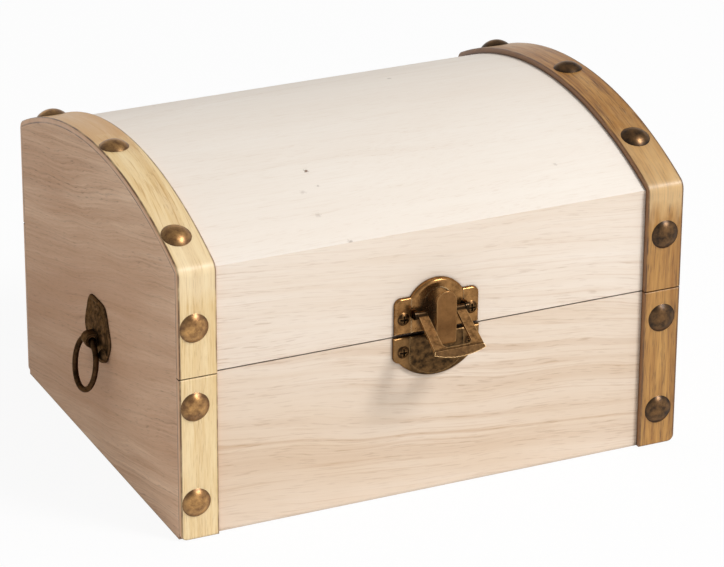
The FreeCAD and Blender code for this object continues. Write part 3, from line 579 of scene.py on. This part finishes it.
# %% Sawn sides, glue seam and browner back
CROSS_SECTION = (0, 1, 1)
HALF_DEPTH = 0.0765
DOME_RADIUS = 0.1674
DOME_CENTRE = (0.0, 0.0, -0.0457)
SIDE_FACING = (0.6, 0.8)
SAWN_SCALE = 300
SAWN_MOTTLE = (0.3, 0.7, 0.8, 1.0)
GLUE_REACH = (0.0007, 0.0002)
GLUE_SCALE = 90
GLUE_BREAKS = (0.3, 0.6, 0.3, 0.9)
BACK_BROWN = colour(196, 146, 88)
BACK_START = (-0.014, 0.006)
BACK_SCALE = 120
BACK_WANDER = 0.02
BACK_SHARE = 0.78


def sawn_sides(tone):
    def touch(tree, coordinates, paint):
        facing = shader_node(tree, "TexCoord").outputs["Normal"]
        sideways = calc(tree, "ABSOLUTE", axes_of(tree, facing)[0])
        mottle = spread(tree, noise(tree, coordinates, SAWN_SCALE, detail=4), *SAWN_MOTTLE)
        share = calc(tree, "MULTIPLY", spread(tree, sideways, *SIDE_FACING), mottle)
        return tint(tree, share, paint, tone)
    return touch


def stand_off(tree, coordinates):
    """How far a point stands off the panels, measured on the flat faces and on the dome alike."""
    depth = calc(tree, "ABSOLUTE", axes_of(tree, coordinates)[1])
    off_face = calc(tree, "SUBTRACT", depth, HALF_DEPTH)
    section = stretch(tree, coordinates, CROSS_SECTION)
    off_dome = calc(tree, "SUBTRACT", distance(tree, section, DOME_CENTRE), DOME_RADIUS)
    return calc(tree, "MAXIMUM", off_face, off_dome)


def glue_seam(tree, coordinates, paint):
    broken = spread(tree, noise(tree, coordinates, GLUE_SCALE, detail=3), *GLUE_BREAKS)
    line = spread(tree, stand_off(tree, coordinates), *GLUE_REACH)
    return tint(tree, calc(tree, "MULTIPLY", line, broken), paint, STAIN_BROWN)


def browner_back(tree, coordinates, paint):
    patchy = swing(tree, noise(tree, coordinates, BACK_SCALE, detail=3), BACK_WANDER)
    depth = calc(tree, "ADD", axes_of(tree, coordinates)[1], patchy)
    return tint(tree, spread(tree, depth, *BACK_START, to_high=BACK_SHARE), paint, BACK_BROWN)


print("glue line up to", GLUE_REACH[0], "m off the panels")

# %% [markdown]
# ## Golden and caramel strips
# The two bands were cut from different stock: golden on the left, and a darker caramel with a strongly
# rubbed bend on the right. Both take the same figure, with finer fibres than the panels.

# %% Strap woods
GOLD_COLOURS = (colour(250, 229, 186), colour(226, 192, 134), colour(196, 152, 88), colour(162, 118, 64))
CARAMEL_COLOURS = (colour(208, 158, 86), colour(144, 93, 38), colour(100, 62, 29), colour(66, 40, 20))
gold_bend = rubbed_bend(colour(250, 236, 206), strength=0.3)
gold_sides = sawn_sides(colour(222, 172, 128))
caramel_bend = rubbed_bend(colour(228, 195, 144), strength=0.58)
caramel_sides = sawn_sides(colour(146, 102, 64))
strap_gold = raw_wood(
    "strap_gold", along_strip, GOLD_COLOURS,
    strengths=(0.55, 0.95, 0.4, 0.7, 0.35), roughness=0.36,
    touches=(gold_bend, browner_back, stained_edges, gold_sides, glue_seam),
    ring_width=0.0040, pith_across=-0.02, pith_depth=0.02, lean=0.02, sway=0.006, fineness=1.5,
)
strap_caramel = raw_wood(
    "strap_caramel", along_strip, CARAMEL_COLOURS,
    strengths=(0.7, 1.0, 0.6, 0.8, 0.7), roughness=0.36,
    touches=(caramel_bend, stained_edges, caramel_sides, glue_seam),
    ring_width=0.0036, pith_across=0.12, pith_depth=0.015, lean=0.015, sway=0.006, fineness=1.15,
)
print("straps", strap_gold.name, strap_caramel.name)

# %% [markdown]
# ## Tarnish
# Antiqued brass is dipped until it browns and then buffed, which leaves cloudy patches, black specks and
# fine hairline scratches. Three noises at three sizes give the three masks.

# %% Tarnish group
CLOUD_RANGE = (0.36, 0.66)
SPECK_SCALE = 2600
SPECK_RANGE = (0.6, 0.7)
SCRATCH_SCALE = 3400
SCRATCH_STRETCH = (0.06, 1, 1)
SCRATCH_RANGE = (0.62, 0.74)
TARNISH_INPUTS = {"Vector": ("Vector", None), "Patch Size": ("Float", 0.004)}
tarnish, given, gives = new_group("tarnish", TARNISH_INPUTS, ("Clouds", "Specks", "Scratches"))
patches = calc(tarnish, "DIVIDE", 1.0, given["Patch Size"])
clouds = noise(tarnish, given["Vector"], patches, detail=4, roughness=0.6)
specks = noise(tarnish, given["Vector"], SPECK_SCALE, roughness=0.6)
scratches = noise(tarnish, stretch(tarnish, given["Vector"], SCRATCH_STRETCH), SCRATCH_SCALE)
feed(tarnish, gives["Clouds"], spread(tarnish, clouds, *CLOUD_RANGE))
feed(tarnish, gives["Specks"], spread(tarnish, specks, *SPECK_RANGE))
feed(tarnish, gives["Scratches"], spread(tarnish, scratches, *SCRATCH_RANGE))
print("tarnish nodes", len(tarnish.nodes))

# %% [markdown]
# ## Metals
# One function makes every metal on the chest. Clean brass is clouded by a dull film, touches change the
# tone at one place, soil fills the corners, the edges are rubbed bright, which on the latch also paints their
# highlights, and covers, which paint shade, lie over all of that.
# Clean metal is shiny, the film is rougher, and soil is matt and less metallic. A clear lacquer can lie on
# top: the nail heads have one, and its pale highlight isn't tinted by the brass below.

# %% Antique metal material
CLEAN_METALLIC = 0.9
SOIL_METALLIC = 0.63
SPECK_SHARE = 0.45
FILM_ROUGHNESS = 0.10
SOIL_ROUGHNESS = 0.25
CLOUD_HEIGHT = 0.6
BUFF_DEPTH = 0.000015
BUFF_STRENGTH = 0.3
EDGE_LEVEL = 0.2
EDGE_TINT = (0.55, 0.47, 0.40, 1.0)
LACQUER_ROUGHNESS = 0.34


def antique_metal(
    name, colours, cover, roughness, patch_size, rub_width=0.0005, touches=(), covers=(), lacquer=0.0,
):
    """Layered metal. Colours: rubbed edge (on the latch also a painted edge highlight), clean, dull, soil.
    Cover is the film's share.
    """
    rub_and_highlight, clean, dull, soil_and_shade = colours
    made, tree, shader, coordinates = new_material(name)
    dipped = {"Vector": coordinates, "Patch Size": patch_size}
    age = shader_node(tree, "Group", dipped, node_tree=tarnish).outputs
    wear = shader_node(tree, "Group", {"Rub Width": rub_width}, node_tree=edge_corner_group).outputs
    film = calc(tree, "MULTIPLY", age["Clouds"], cover)
    dirt = calc(tree, "MAXIMUM", wear["Soil"], calc(tree, "MULTIPLY", age["Specks"], SPECK_SHARE))
    paint = tint(tree, film, clean, dull)
    for touch in touches:
        paint = touch(tree, coordinates, paint)
    paint = tint(tree, dirt, paint, soil_and_shade)
    paint = tint(tree, wear["Rub"], paint, rub_and_highlight)
    for touch in covers:
        paint = touch(tree, coordinates, paint)
    feed(tree, shader.inputs["Base Color"], paint)
    feed(tree, shader.inputs["Metallic"], spread(tree, dirt, 0, 1, CLEAN_METALLIC, SOIL_METALLIC))
    film_matt = calc(tree, "MULTIPLY", film, FILM_ROUGHNESS)
    matt = calc(tree, "ADD", film_matt, calc(tree, "MULTIPLY", dirt, SOIL_ROUGHNESS))
    feed(tree, shader.inputs["Roughness"], calc(tree, "ADD", matt, roughness))
    height = calc(tree, "MULTIPLY", age["Clouds"], CLOUD_HEIGHT)
    height = calc(tree, "SUBTRACT", height, age["Scratches"])
    buffed = {"Height": height, "Strength": BUFF_STRENGTH, "Distance": BUFF_DEPTH}
    feed(tree, shader.inputs["Normal"], shader_node(tree, "Bump", buffed).outputs[0])
    shader.inputs["Coat Weight"].default_value = lacquer
    shader.inputs["Coat Roughness"].default_value = LACQUER_ROUGHNESS
    shader.inputs["Specular IOR Level"].default_value = EDGE_LEVEL
    shader.inputs["Specular Tint"].default_value = EDGE_TINT
    return made


print("metallic from", SOIL_METALLIC, "in soil to", CLEAN_METALLIC, "where clean")

# %% [markdown]
# ## Touches on the latch
# A latch ages by how it is used, and some of its tones here paint light and shade. The hook stands out and is
# painted lighter, the flap's lip is painted dark as shade, the plate behind the hook carries a painted shadow
# of the hook, the lugs and curls round the hinge pin are painted dark as shade, and fingers brighten the ears
# beside the flap. Each of these is a place, so each is a mask by distance.

# %% Handled places and painted shade of the latch
HOOK_SHADE = colour(100, 76, 52)
HOOK_MIDDLE = (-0.0038, 0.0, 0.0572)
HOOK_REACH = (0.0062, 0.0044)
HOOK_FLATTEN = (1.0, 0.0, 0.8)
HOOK_SCALE = 500
HOOK_PATCHES = (0.3, 0.7, 0.0, 0.0016)
PIN_AXIS = (0.0, -0.0807, 0.0725)
PIN_FADE = 0.0006
EAR_BRASS = colour(156, 116, 72)
EAR_REACH = (0.0105, 0.0130)
EAR_SHARE = 0.6
PAINTED_SHADE_SHARE = 0.95


def standing_out(start, end, share, tone):
    """Another tone for what stands further out in front of the chest: painted shade on the flap's lip,
    painted light on the hook.
    """
    def touch(tree, coordinates, paint):
        ahead = axes_of(tree, coordinates)[1]
        return tint(tree, spread(tree, ahead, start, end, to_high=share), paint, tone)
    return touch


# Paints the hook's shadow on the plate behind it.
def hook_shadow(tree, coordinates, paint):
    flat = stretch(tree, coordinates, HOOK_FLATTEN)
    patchy = spread(tree, noise(tree, coordinates, HOOK_SCALE, detail=3), *HOOK_PATCHES)
    away = calc(tree, "ADD", distance(tree, flat, HOOK_MIDDLE), patchy)
    return tint(tree, spread(tree, away, *HOOK_REACH, to_high=PAINTED_SHADE_SHARE), paint, HOOK_SHADE)


def pin_shade(reach, tone):
    """Painted shade on the lugs and curls round the hinge pin of the flap."""
    def touch(tree, coordinates, paint):
        away = distance(tree, stretch(tree, coordinates, CROSS_SECTION), PIN_AXIS)
        return tint(tree, spread(tree, away, reach + PIN_FADE, reach, to_high=PAINTED_SHADE_SHARE), paint, tone)
    return touch


def bright_ears(tree, coordinates, paint):
    aside = beside_latch(tree, coordinates)
    return tint(tree, spread(tree, aside, *EAR_REACH, to_high=EAR_SHARE), paint, EAR_BRASS)


print("hinge pin of the flap at", PIN_AXIS[1:])

# %% [markdown]
# ## Brass of the latch
# The lid plate is the cleanest piece, with a bright rim, rubbed and partly a painted highlight. The flap is
# patchier, with a lip painted dark as shade. The base plate always lies under the flap and is almost black,
# partly patina and partly painted shade of the flap, except on its ears and on its hook, which is painted
# lighter.

# %% Latch plates and flap
# The pale first tones, on wide rubs on the lid and base plates, also paint the highlights of their rims and
# edges.
LATCH_TONES = (colour(232, 202, 156), colour(164, 120, 73), colour(116, 82, 48), colour(30, 21, 13))
FLAP_TONES = (colour(212, 174, 122), colour(176, 131, 82), colour(92, 64, 38), colour(28, 20, 12))
# The base plate's dark tones are partly patina and partly painted shade of the flap above it.
SHADED_PLATE_TONES = (colour(196, 156, 106), colour(106, 78, 48), colour(44, 32, 20), colour(14, 10, 7))
# Lugs and flap curls round the pin are painted dark as shade.
lug_shade = pin_shade(reach=0.0018, tone=colour(26, 18, 11))
curl_shade = pin_shade(reach=0.0014, tone=colour(44, 31, 19))
# The flap's lip is painted dark as shade.
lip_shade = standing_out(start=-0.0952, end=-0.0962, share=0.88, tone=colour(44, 30, 17))
# The hook stands out of that shade and is painted lighter.
lit_hook = standing_out(start=-0.0800, end=-0.0830, share=0.62, tone=colour(154, 109, 65))
latch_brass = antique_metal(
    "latch_brass", LATCH_TONES, cover=0.9, roughness=0.2, patch_size=0.003,
    rub_width=0.0008, covers=(hook_shadow, lug_shade),
)
flap_brass = antique_metal(
    "flap_brass", FLAP_TONES, cover=0.9, roughness=0.36, patch_size=0.0016,
    touches=(lip_shade,), covers=(curl_shade,),
)
plate_brass = antique_metal(
    "plate_brass", SHADED_PLATE_TONES, cover=1.0, roughness=0.3, patch_size=0.002,
    rub_width=0.0009, touches=(bright_ears, lit_hook),
)
print("latch metals", latch_brass.name, flap_brass.name, plate_brass.name)

# %% [markdown]
# ## Nails, hinges, screws and pulls
# Nail heads are stamped, dipped and lacquered, and keep a dark dip at the rim where they meet the strap; that
# darkening reaches well up the head and paints the shading of its dome.
# Those on the caramel strap take a darker copy of the brass, which paints the darker reflections they show.
# Screws and ring pulls are almost black.

# %% Other metals
STRAP_THICKNESS = 0.0022
RIM_REACH = (0.0015, 0.0001)
RIM_SHARE = 0.7


# Darkens the nail head towards its rim: the dip at the strap, and painted shade of the dome.
def rim_dip_and_shade(tone):
    def touch(tree, coordinates, paint):
        height = calc(tree, "SUBTRACT", stand_off(tree, coordinates), STRAP_THICKNESS)
        return tint(tree, spread(tree, height, *RIM_REACH, to_high=RIM_SHARE), paint, tone)
    return touch


NAIL_TONES = (colour(204, 160, 106), colour(194, 146, 86), colour(106, 68, 31), colour(28, 18, 8))
# A darker copy of the nail brass: painted darker reflections on the caramel strap's nails.
DARK_REFLECTION_NAIL_TONES = (colour(134, 100, 64), colour(116, 83, 48), colour(30, 19, 9), colour(8, 5, 3))
HINGE_TONES = (colour(200, 160, 108), colour(148, 108, 65), colour(102, 72, 42), colour(30, 21, 13))
SCREW_TONES = (colour(150, 112, 70), colour(86, 61, 37), colour(32, 23, 15), colour(5, 4, 3))
RING_TONES = (colour(96, 71, 46), colour(76, 53, 33), colour(30, 21, 12), colour(7, 5, 3))
PULL_TONES = (colour(132, 100, 68), colour(100, 73, 48), colour(42, 30, 18), colour(9, 7, 5))
nail_rim = rim_dip_and_shade(colour(74, 49, 26))
dark_reflection_nail_rim = rim_dip_and_shade(colour(24, 17, 10))
nail_brass = antique_metal(
    "nail_brass", NAIL_TONES, cover=0.9, roughness=0.3, patch_size=0.003,
    rub_width=0.0001, touches=(nail_rim,), lacquer=0.6,
)
dark_reflection_nail_brass = antique_metal(
    "dark_reflection_nail_brass", DARK_REFLECTION_NAIL_TONES, cover=0.9, roughness=0.3, patch_size=0.003,
    rub_width=0.0001, touches=(dark_reflection_nail_rim,), lacquer=0.35,
)
hinge_brass = antique_metal("hinge_brass", HINGE_TONES, cover=0.9, roughness=0.3, patch_size=0.004)
screw_black = antique_metal("screw_black", SCREW_TONES, cover=0.95, roughness=0.3, patch_size=0.0012)
ring_bronze = antique_metal("ring_bronze", RING_TONES, cover=0.9, roughness=0.38, patch_size=0.002)
pull_bronze = antique_metal("pull_bronze", PULL_TONES, cover=0.9, roughness=0.42, patch_size=0.002)
print("other metals", [made.name for made in (nail_brass, dark_reflection_nail_brass, hinge_brass)],
      [made.name for made in (screw_black, ring_bronze, pull_bronze)])

# %% [markdown]
# ## Embossed plates of the ring pulls
# The plate behind each ring is stamped from thin sheet: a rounded rim, a groove inside it, and flutes that
# fan out above the ring like a leaf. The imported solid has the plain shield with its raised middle, two
# bosses and the right size. Here a mesh of the same outline takes its place: the outline is drawn in
# smaller and smaller copies towards the eye, and each copy gets the height of the stamping at that share,
# so rim and groove follow the edge by themselves.

# %% Outline of the plate
EYE_Y = -0.0010
EYE_Z = 0.0479
END_FACE = 0.1000
MM_PER_METRE = 1000
PLATE_EDGE = (
    (0.0, 15.1), (2.8, 15.15), (5.2, 15.0), (7.4, 14.2), (9.0, 11.8), (10.2, 8.6), (11.4, 5.6),
    (12.2, 3.0), (12.2, 0.4), (10.8, -2.6), (9.0, -5.2), (6.0, -7.8), (3.0, -9.1), (0.0, -9.5),
)
STEPS = 6


def between(before, start, end, after, t):
    """A number on the smooth curve from start to end, at share t of the way."""
    bend = 2 * before - 5 * start + 4 * end - after
    twist = 3 * start - before - 3 * end + after
    return 0.5 * (2 * start + (end - before) * t + bend * t ** 2 + twist * t ** 3)


def smooth_line(points, steps):
    """Points of a curve that passes through the given ones."""
    line = []
    padded = [points[0]] + list(points) + [points[-1]]
    for four in zip(padded, padded[1:], padded[2:], padded[3:]):
        for step in range(steps):
            line.append(tuple(between(*numbers, step / steps) for numbers in zip(*four)))
    return line + [points[-1]]


half_edge = smooth_line(PLATE_EDGE, STEPS)
whole_edge = half_edge + [(-y, up) for y, up in half_edge[-2:0:-1]]
print("plate outline points", len(whole_edge))

# %% [markdown]
# ## Height of the stamping
# A press pushes the sheet into a die, so each height fades softly into the next. A displacement texture
# would need a dense, even mesh. Here the height is a plain formula instead: a profile from the eye to the
# edge, less the flutes of the fan, with a flat seat round each pin.

# %% Height of the stamping
STAMPING = (
    (0.0, 1.6), (0.56, 1.6), (0.62, 1.4), (0.68, 1.0), (0.80, 0.9), (0.86, 0.6),
    (0.90, 0.85), (0.94, 1.04), (0.97, 0.95), (1.0, 0.5),
)
FLUTE_ANGLE = math.radians(19)
FLUTE_DEPTH = 0.5
FAN_SIDES = (math.radians(74), math.radians(56))
FAN_FOOT = (0.28, 0.42)
FAN_TIP = (0.88, 0.78)
PIN_SEATS = ((0.0, 11.7), (0.0, -7.6))
PIN_SEAT_HEIGHT = 1.0
PIN_SEAT_EDGE = (2.0, 1.4)


def ramp(value, low, high):
    share = min(max((value - low) / (high - low), 0.0), 1.0)
    return share * share * (3 - 2 * share)


def stamped(share, y, up):
    """Height of the plate in millimetres at a share of the way from the eye to the edge."""
    height = STAMPING[-1][1]
    for (start, low), (end, high) in zip(STAMPING, STAMPING[1:]):
        if start <= share <= end:
            height = low + (high - low) * ramp(share, start, end)
    angle = abs(math.atan2(y, up))
    fan = ramp(angle, *FAN_SIDES) * ramp(share, *FAN_FOOT) * ramp(share, *FAN_TIP)
    height -= FLUTE_DEPTH * fan * (0.5 - 0.5 * math.cos(2 * math.pi * angle / FLUTE_ANGLE))
    for seat_y, seat_up in PIN_SEATS:
        away = math.hypot(y - seat_y, up - seat_up)
        height += (PIN_SEAT_HEIGHT - height) * ramp(away, *PIN_SEAT_EDGE)
    return height


JUST_ABOVE_EYE = 0.1
eye_height = stamped(0.0, 0.0, JUST_ABOVE_EYE)
print("height at the eye", eye_height, "and at the edge", stamped(1.0, *PLATE_EDGE[0]))

# %% [markdown]
# ## Plate and bosses
# Plate and bosses are made like a coiled pot: rings of points, one after the other, each joined to the one
# before it by a band of faces, and closed at the top. They could be turned with a screw modifier, but the
# plate isn't round, and one helper serves both.

# %% Rings joined to a skin
def ring_faces(first, second, count):
    pairs = [(i, (i + 1) % count) for i in range(count)]
    return [(first + i, first + j, second + j, second + i) for i, j in pairs]


def cap_faces(first, top, count):
    return [(first + i, first + (i + 1) % count, top) for i in range(count)]


def add_rings(rings, top, points, faces):
    """Adds rings of points, each joined to the one before it, and a cap on the last."""
    count = len(rings[0])
    for number, ring in enumerate(rings):
        points += ring
        if number:
            faces += ring_faces(len(points) - 2 * count, len(points) - count, count)
    points.append(top)
    faces += cap_faces(len(points) - 1 - count, len(points) - 1, count)


print("a band of four points has", len(ring_faces(0, 4, 4)), "faces and its cap", len(cap_faces(0, 4, 4)))

# %% Plate with its bosses
SHARES = 40
BOSS_PLACES = ((7.0, -4.4), (-7.0, -4.4))
BOSS_PROFILE = (
    (2.8, 0.4), (2.8, 1.15), (2.7, 1.35), (2.5, 1.4), (2.36, 1.3), (2.34, 1.6),
    (2.15, 2.0), (1.75, 2.5), (1.15, 2.95), (0.55, 3.18), (0.0, 3.25),
)
BOSS_STEPS = 28
points, faces = [], []
plate_rings = [[(0.0, y, up) for y, up in whole_edge]]
for step in range(SHARES, 0, -1):
    share = step / SHARES
    copy = [(share * y, share * up) for y, up in whole_edge]
    plate_rings.append([(stamped(share, y, up), y, up) for y, up in copy])
add_rings(plate_rings, (eye_height, 0.0, 0.0), points, faces)
turns = [2 * math.pi * i / BOSS_STEPS for i in range(BOSS_STEPS)]
circle = [(math.cos(turn), math.sin(turn)) for turn in turns]
for boss_y, boss_up in BOSS_PLACES:
    boss_rings = [
        [(out, boss_y + radius * y, boss_up + radius * up) for y, up in circle]
        for radius, out in BOSS_PROFILE[:-1]
    ]
    add_rings(boss_rings, (BOSS_PROFILE[-1][1], boss_y, boss_up), points, faces)
print("plate mesh", len(points), "points", len(faces), "faces")

# %% [markdown]
# ## Plates on both ends
# The two plates mirror each other. Mirroring turns faces inside out, so on the left end each face lists its
# points backwards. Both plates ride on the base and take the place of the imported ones.

# %% Plates on both ends
for side, sign in (("left", -1), ("right", 1)):
    mesh = bpy.data.meshes.new(side + "_pull_stamping")
    placed = [
        (sign * (END_FACE + out / MM_PER_METRE), EYE_Y + y / MM_PER_METRE, EYE_Z + up / MM_PER_METRE)
        for out, y, up in points
    ]
    mesh.from_pydata(placed, [], [face[::sign] for face in faces])
    mesh.shade_smooth()
    mesh.materials.append(pull_bronze)
    stamping = bpy.data.objects.new(side + "_pull_stamping", mesh)
    bpy.context.scene.collection.objects.link(stamping)
    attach(stamping, "base")
    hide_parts(side + "_pull_plate")
    print(stamping.name, "takes the place of", side + "_pull_plate")

# %% [markdown]
# ## Dressing the solids
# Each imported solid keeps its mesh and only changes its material. Which finish a solid gets follows from its
# name, so a short list of name beginnings is enough, with the longest match winning.

# %% Give each solid its finish
FINISHES = {
    "base_front": base_front_wood, "base_back": base_front_wood, "base_floor": lid_front_wood,
    "lid_front": lid_front_wood, "lid_back": lid_front_wood, "lid_top": dome_wood,
    "base_left_end": end_wood, "lid_left_end": end_wood,
    "base_right_end": pale_end_wood, "lid_right_end": pale_end_wood,
    "base_strap_front_left": strap_gold, "base_strap_back_left": strap_gold,
    "lid_strap_left": strap_gold,
    "base_strap_front_right": strap_caramel, "base_strap_back_right": strap_caramel,
    "lid_strap_right": strap_caramel,
    "base_nails_front_left": nail_brass, "base_nails_back_left": nail_brass,
    "lid_nails_left": nail_brass,
    "base_nails_front_right": dark_reflection_nail_brass, "base_nails_back_right": dark_reflection_nail_brass,
    "lid_nails_right": dark_reflection_nail_brass,
    "latch_lid_plate": latch_brass, "latch_base_plate": plate_brass, "latch_flap": flap_brass,
    "latch_lid_screws": screw_black, "latch_base_screws": screw_black,
    "hinge_base_screws": screw_black, "hinge_lid_screws": screw_black,
    "hinge_left": hinge_brass, "hinge_right": hinge_brass,
    "left_pull": pull_bronze, "right_pull": pull_bronze,
    "left_pull_ring": ring_bronze, "right_pull_ring": ring_bronze,
}
for name, solid in nodes.items():
    start = max((s for s in FINISHES if name.startswith(s)), key=len)
    for holder in solid.material_slots:
        holder.material = FINISHES[start]
print("dressed", len(nodes), "solids with", len(set(FINISHES.values())), "finishes")

# %% [markdown]
# ## White floor
# The picture is a catalogue shot, white all round. Lighting a floor until it is white would bleach the chest
# too. So the floor mixes a white glow into its own shading only for the rays that look at it: it reads as
# white, keeps the chest's shadow, and throws no extra light.

# %% Floor
FLOOR_SIZE = 8.0
FLOOR_BELOW = -0.0002
FLOOR_GLOW = 0.92
FLOOR_PAINT = (0.9, 0.9, 0.9, 1.0)
WHITE = (1.0, 1.0, 1.0, 1.0)


def looked_at(tree, mirrored):
    """1 for rays that see a background directly or through glass, and a share for mirrored ones."""
    path = shader_node(tree, "LightPath").outputs
    direct = calc(tree, "MAXIMUM", path["Is Camera Ray"], path["Is Transmission Ray"])
    return calc(tree, "MAXIMUM", direct, calc(tree, "MULTIPLY", path["Is Glossy Ray"], mirrored))


floor_paint = bpy.data.materials.new("floor_paint")
floor_paint.use_nodes = True
tree = floor_paint.node_tree
tree.nodes.clear()
matt = shader_node(tree, "BsdfDiffuse", {"Color": FLOOR_PAINT}).outputs[0]
glow = shader_node(tree, "Emission", {"Color": WHITE}).outputs[0]
share = calc(tree, "MULTIPLY", looked_at(tree, mirrored=1.0), FLOOR_GLOW)
mixed = shader_node(tree, "MixShader", {0: share, 1: matt, 2: glow}).outputs[0]
shader_node(tree, "OutputMaterial", {"Surface": mixed})
half = FLOOR_SIZE / 2
corners = [(-half, -half, 0), (half, -half, 0), (half, half, 0), (-half, half, 0)]
sheet = bpy.data.meshes.new("floor")
sheet.from_pydata(corners, [], [(0, 1, 2, 3)])
sheet.materials.append(floor_paint)
floor = bpy.data.objects.new("floor", sheet)
floor.location.z = FLOOR_BELOW
bpy.context.scene.collection.objects.link(floor)
print("floor", FLOOR_SIZE, "m wide")

# %% [markdown]
# ## White world
# The world is white for the rays that look at it, and dimmer where it lights the chest. In a studio the
# white paper sweep ends somewhere above the object, so mirrored rays see white only up to the sweep's top
# and the dimmer fill above it. That gives the metal both bright and dark sides.

# %% World
FILL = 0.40
SWEEP_TOP = (0.30, 0.55)
world = bpy.data.worlds.new("studio")
world.use_nodes = True
tree = world.node_tree
tree.nodes.clear()
fill = shader_node(tree, "Background", {"Color": WHITE, "Strength": FILL}).outputs[0]
shown = shader_node(tree, "Background", {"Color": WHITE, "Strength": 1.0}).outputs[0]
heading = axes_of(tree, shader_node(tree, "TexCoord").outputs["Generated"])[2]
sweep = spread(tree, heading, *SWEEP_TOP, to_low=1.0, to_high=0.0)
mixed = shader_node(tree, "MixShader", {0: looked_at(tree, mirrored=sweep), 1: fill, 2: shown}).outputs[0]
shader_node(tree, "OutputWorld", {"Surface": mixed})
bpy.context.scene.world = world
print("fill", FILL)

# %% [markdown]
# ## Key light
# The key is a large round soft box at the upper right. A soft box is brightest in its middle, which one even
# lamp can't show, so a smaller and stronger disc stands a little in front of a larger one. The large disc
# softens the shadows, and the small one gives nails and plates their highlights.

# %% Key lamp with a brighter core
KEY_DIRECTION = Vector((0.43, -0.56, 0.71)).normalized()
KEY_FACES = (("key_face", 1.4, 13.0, 2.60), ("key_core", 0.65, 36.0, 2.55))
middle = (cad_low + cad_high) / 2
for name, size, watts, away in KEY_FACES:
    lamp = bpy.data.lights.new(name, "AREA")
    lamp.shape = "DISK"
    lamp.size = size
    lamp.energy = watts
    key = bpy.data.objects.new(name, lamp)
    key.location = middle + KEY_DIRECTION * away
    key.rotation_mode = "QUATERNION"
    key.rotation_quaternion = KEY_DIRECTION.to_track_quat("Z", "Y")
    bpy.context.scene.collection.objects.link(key)
    print(name, watts, "W at", tuple(round(v, 3) for v in key.location))
bpy.context.scene.view_settings.view_transform = "Standard"
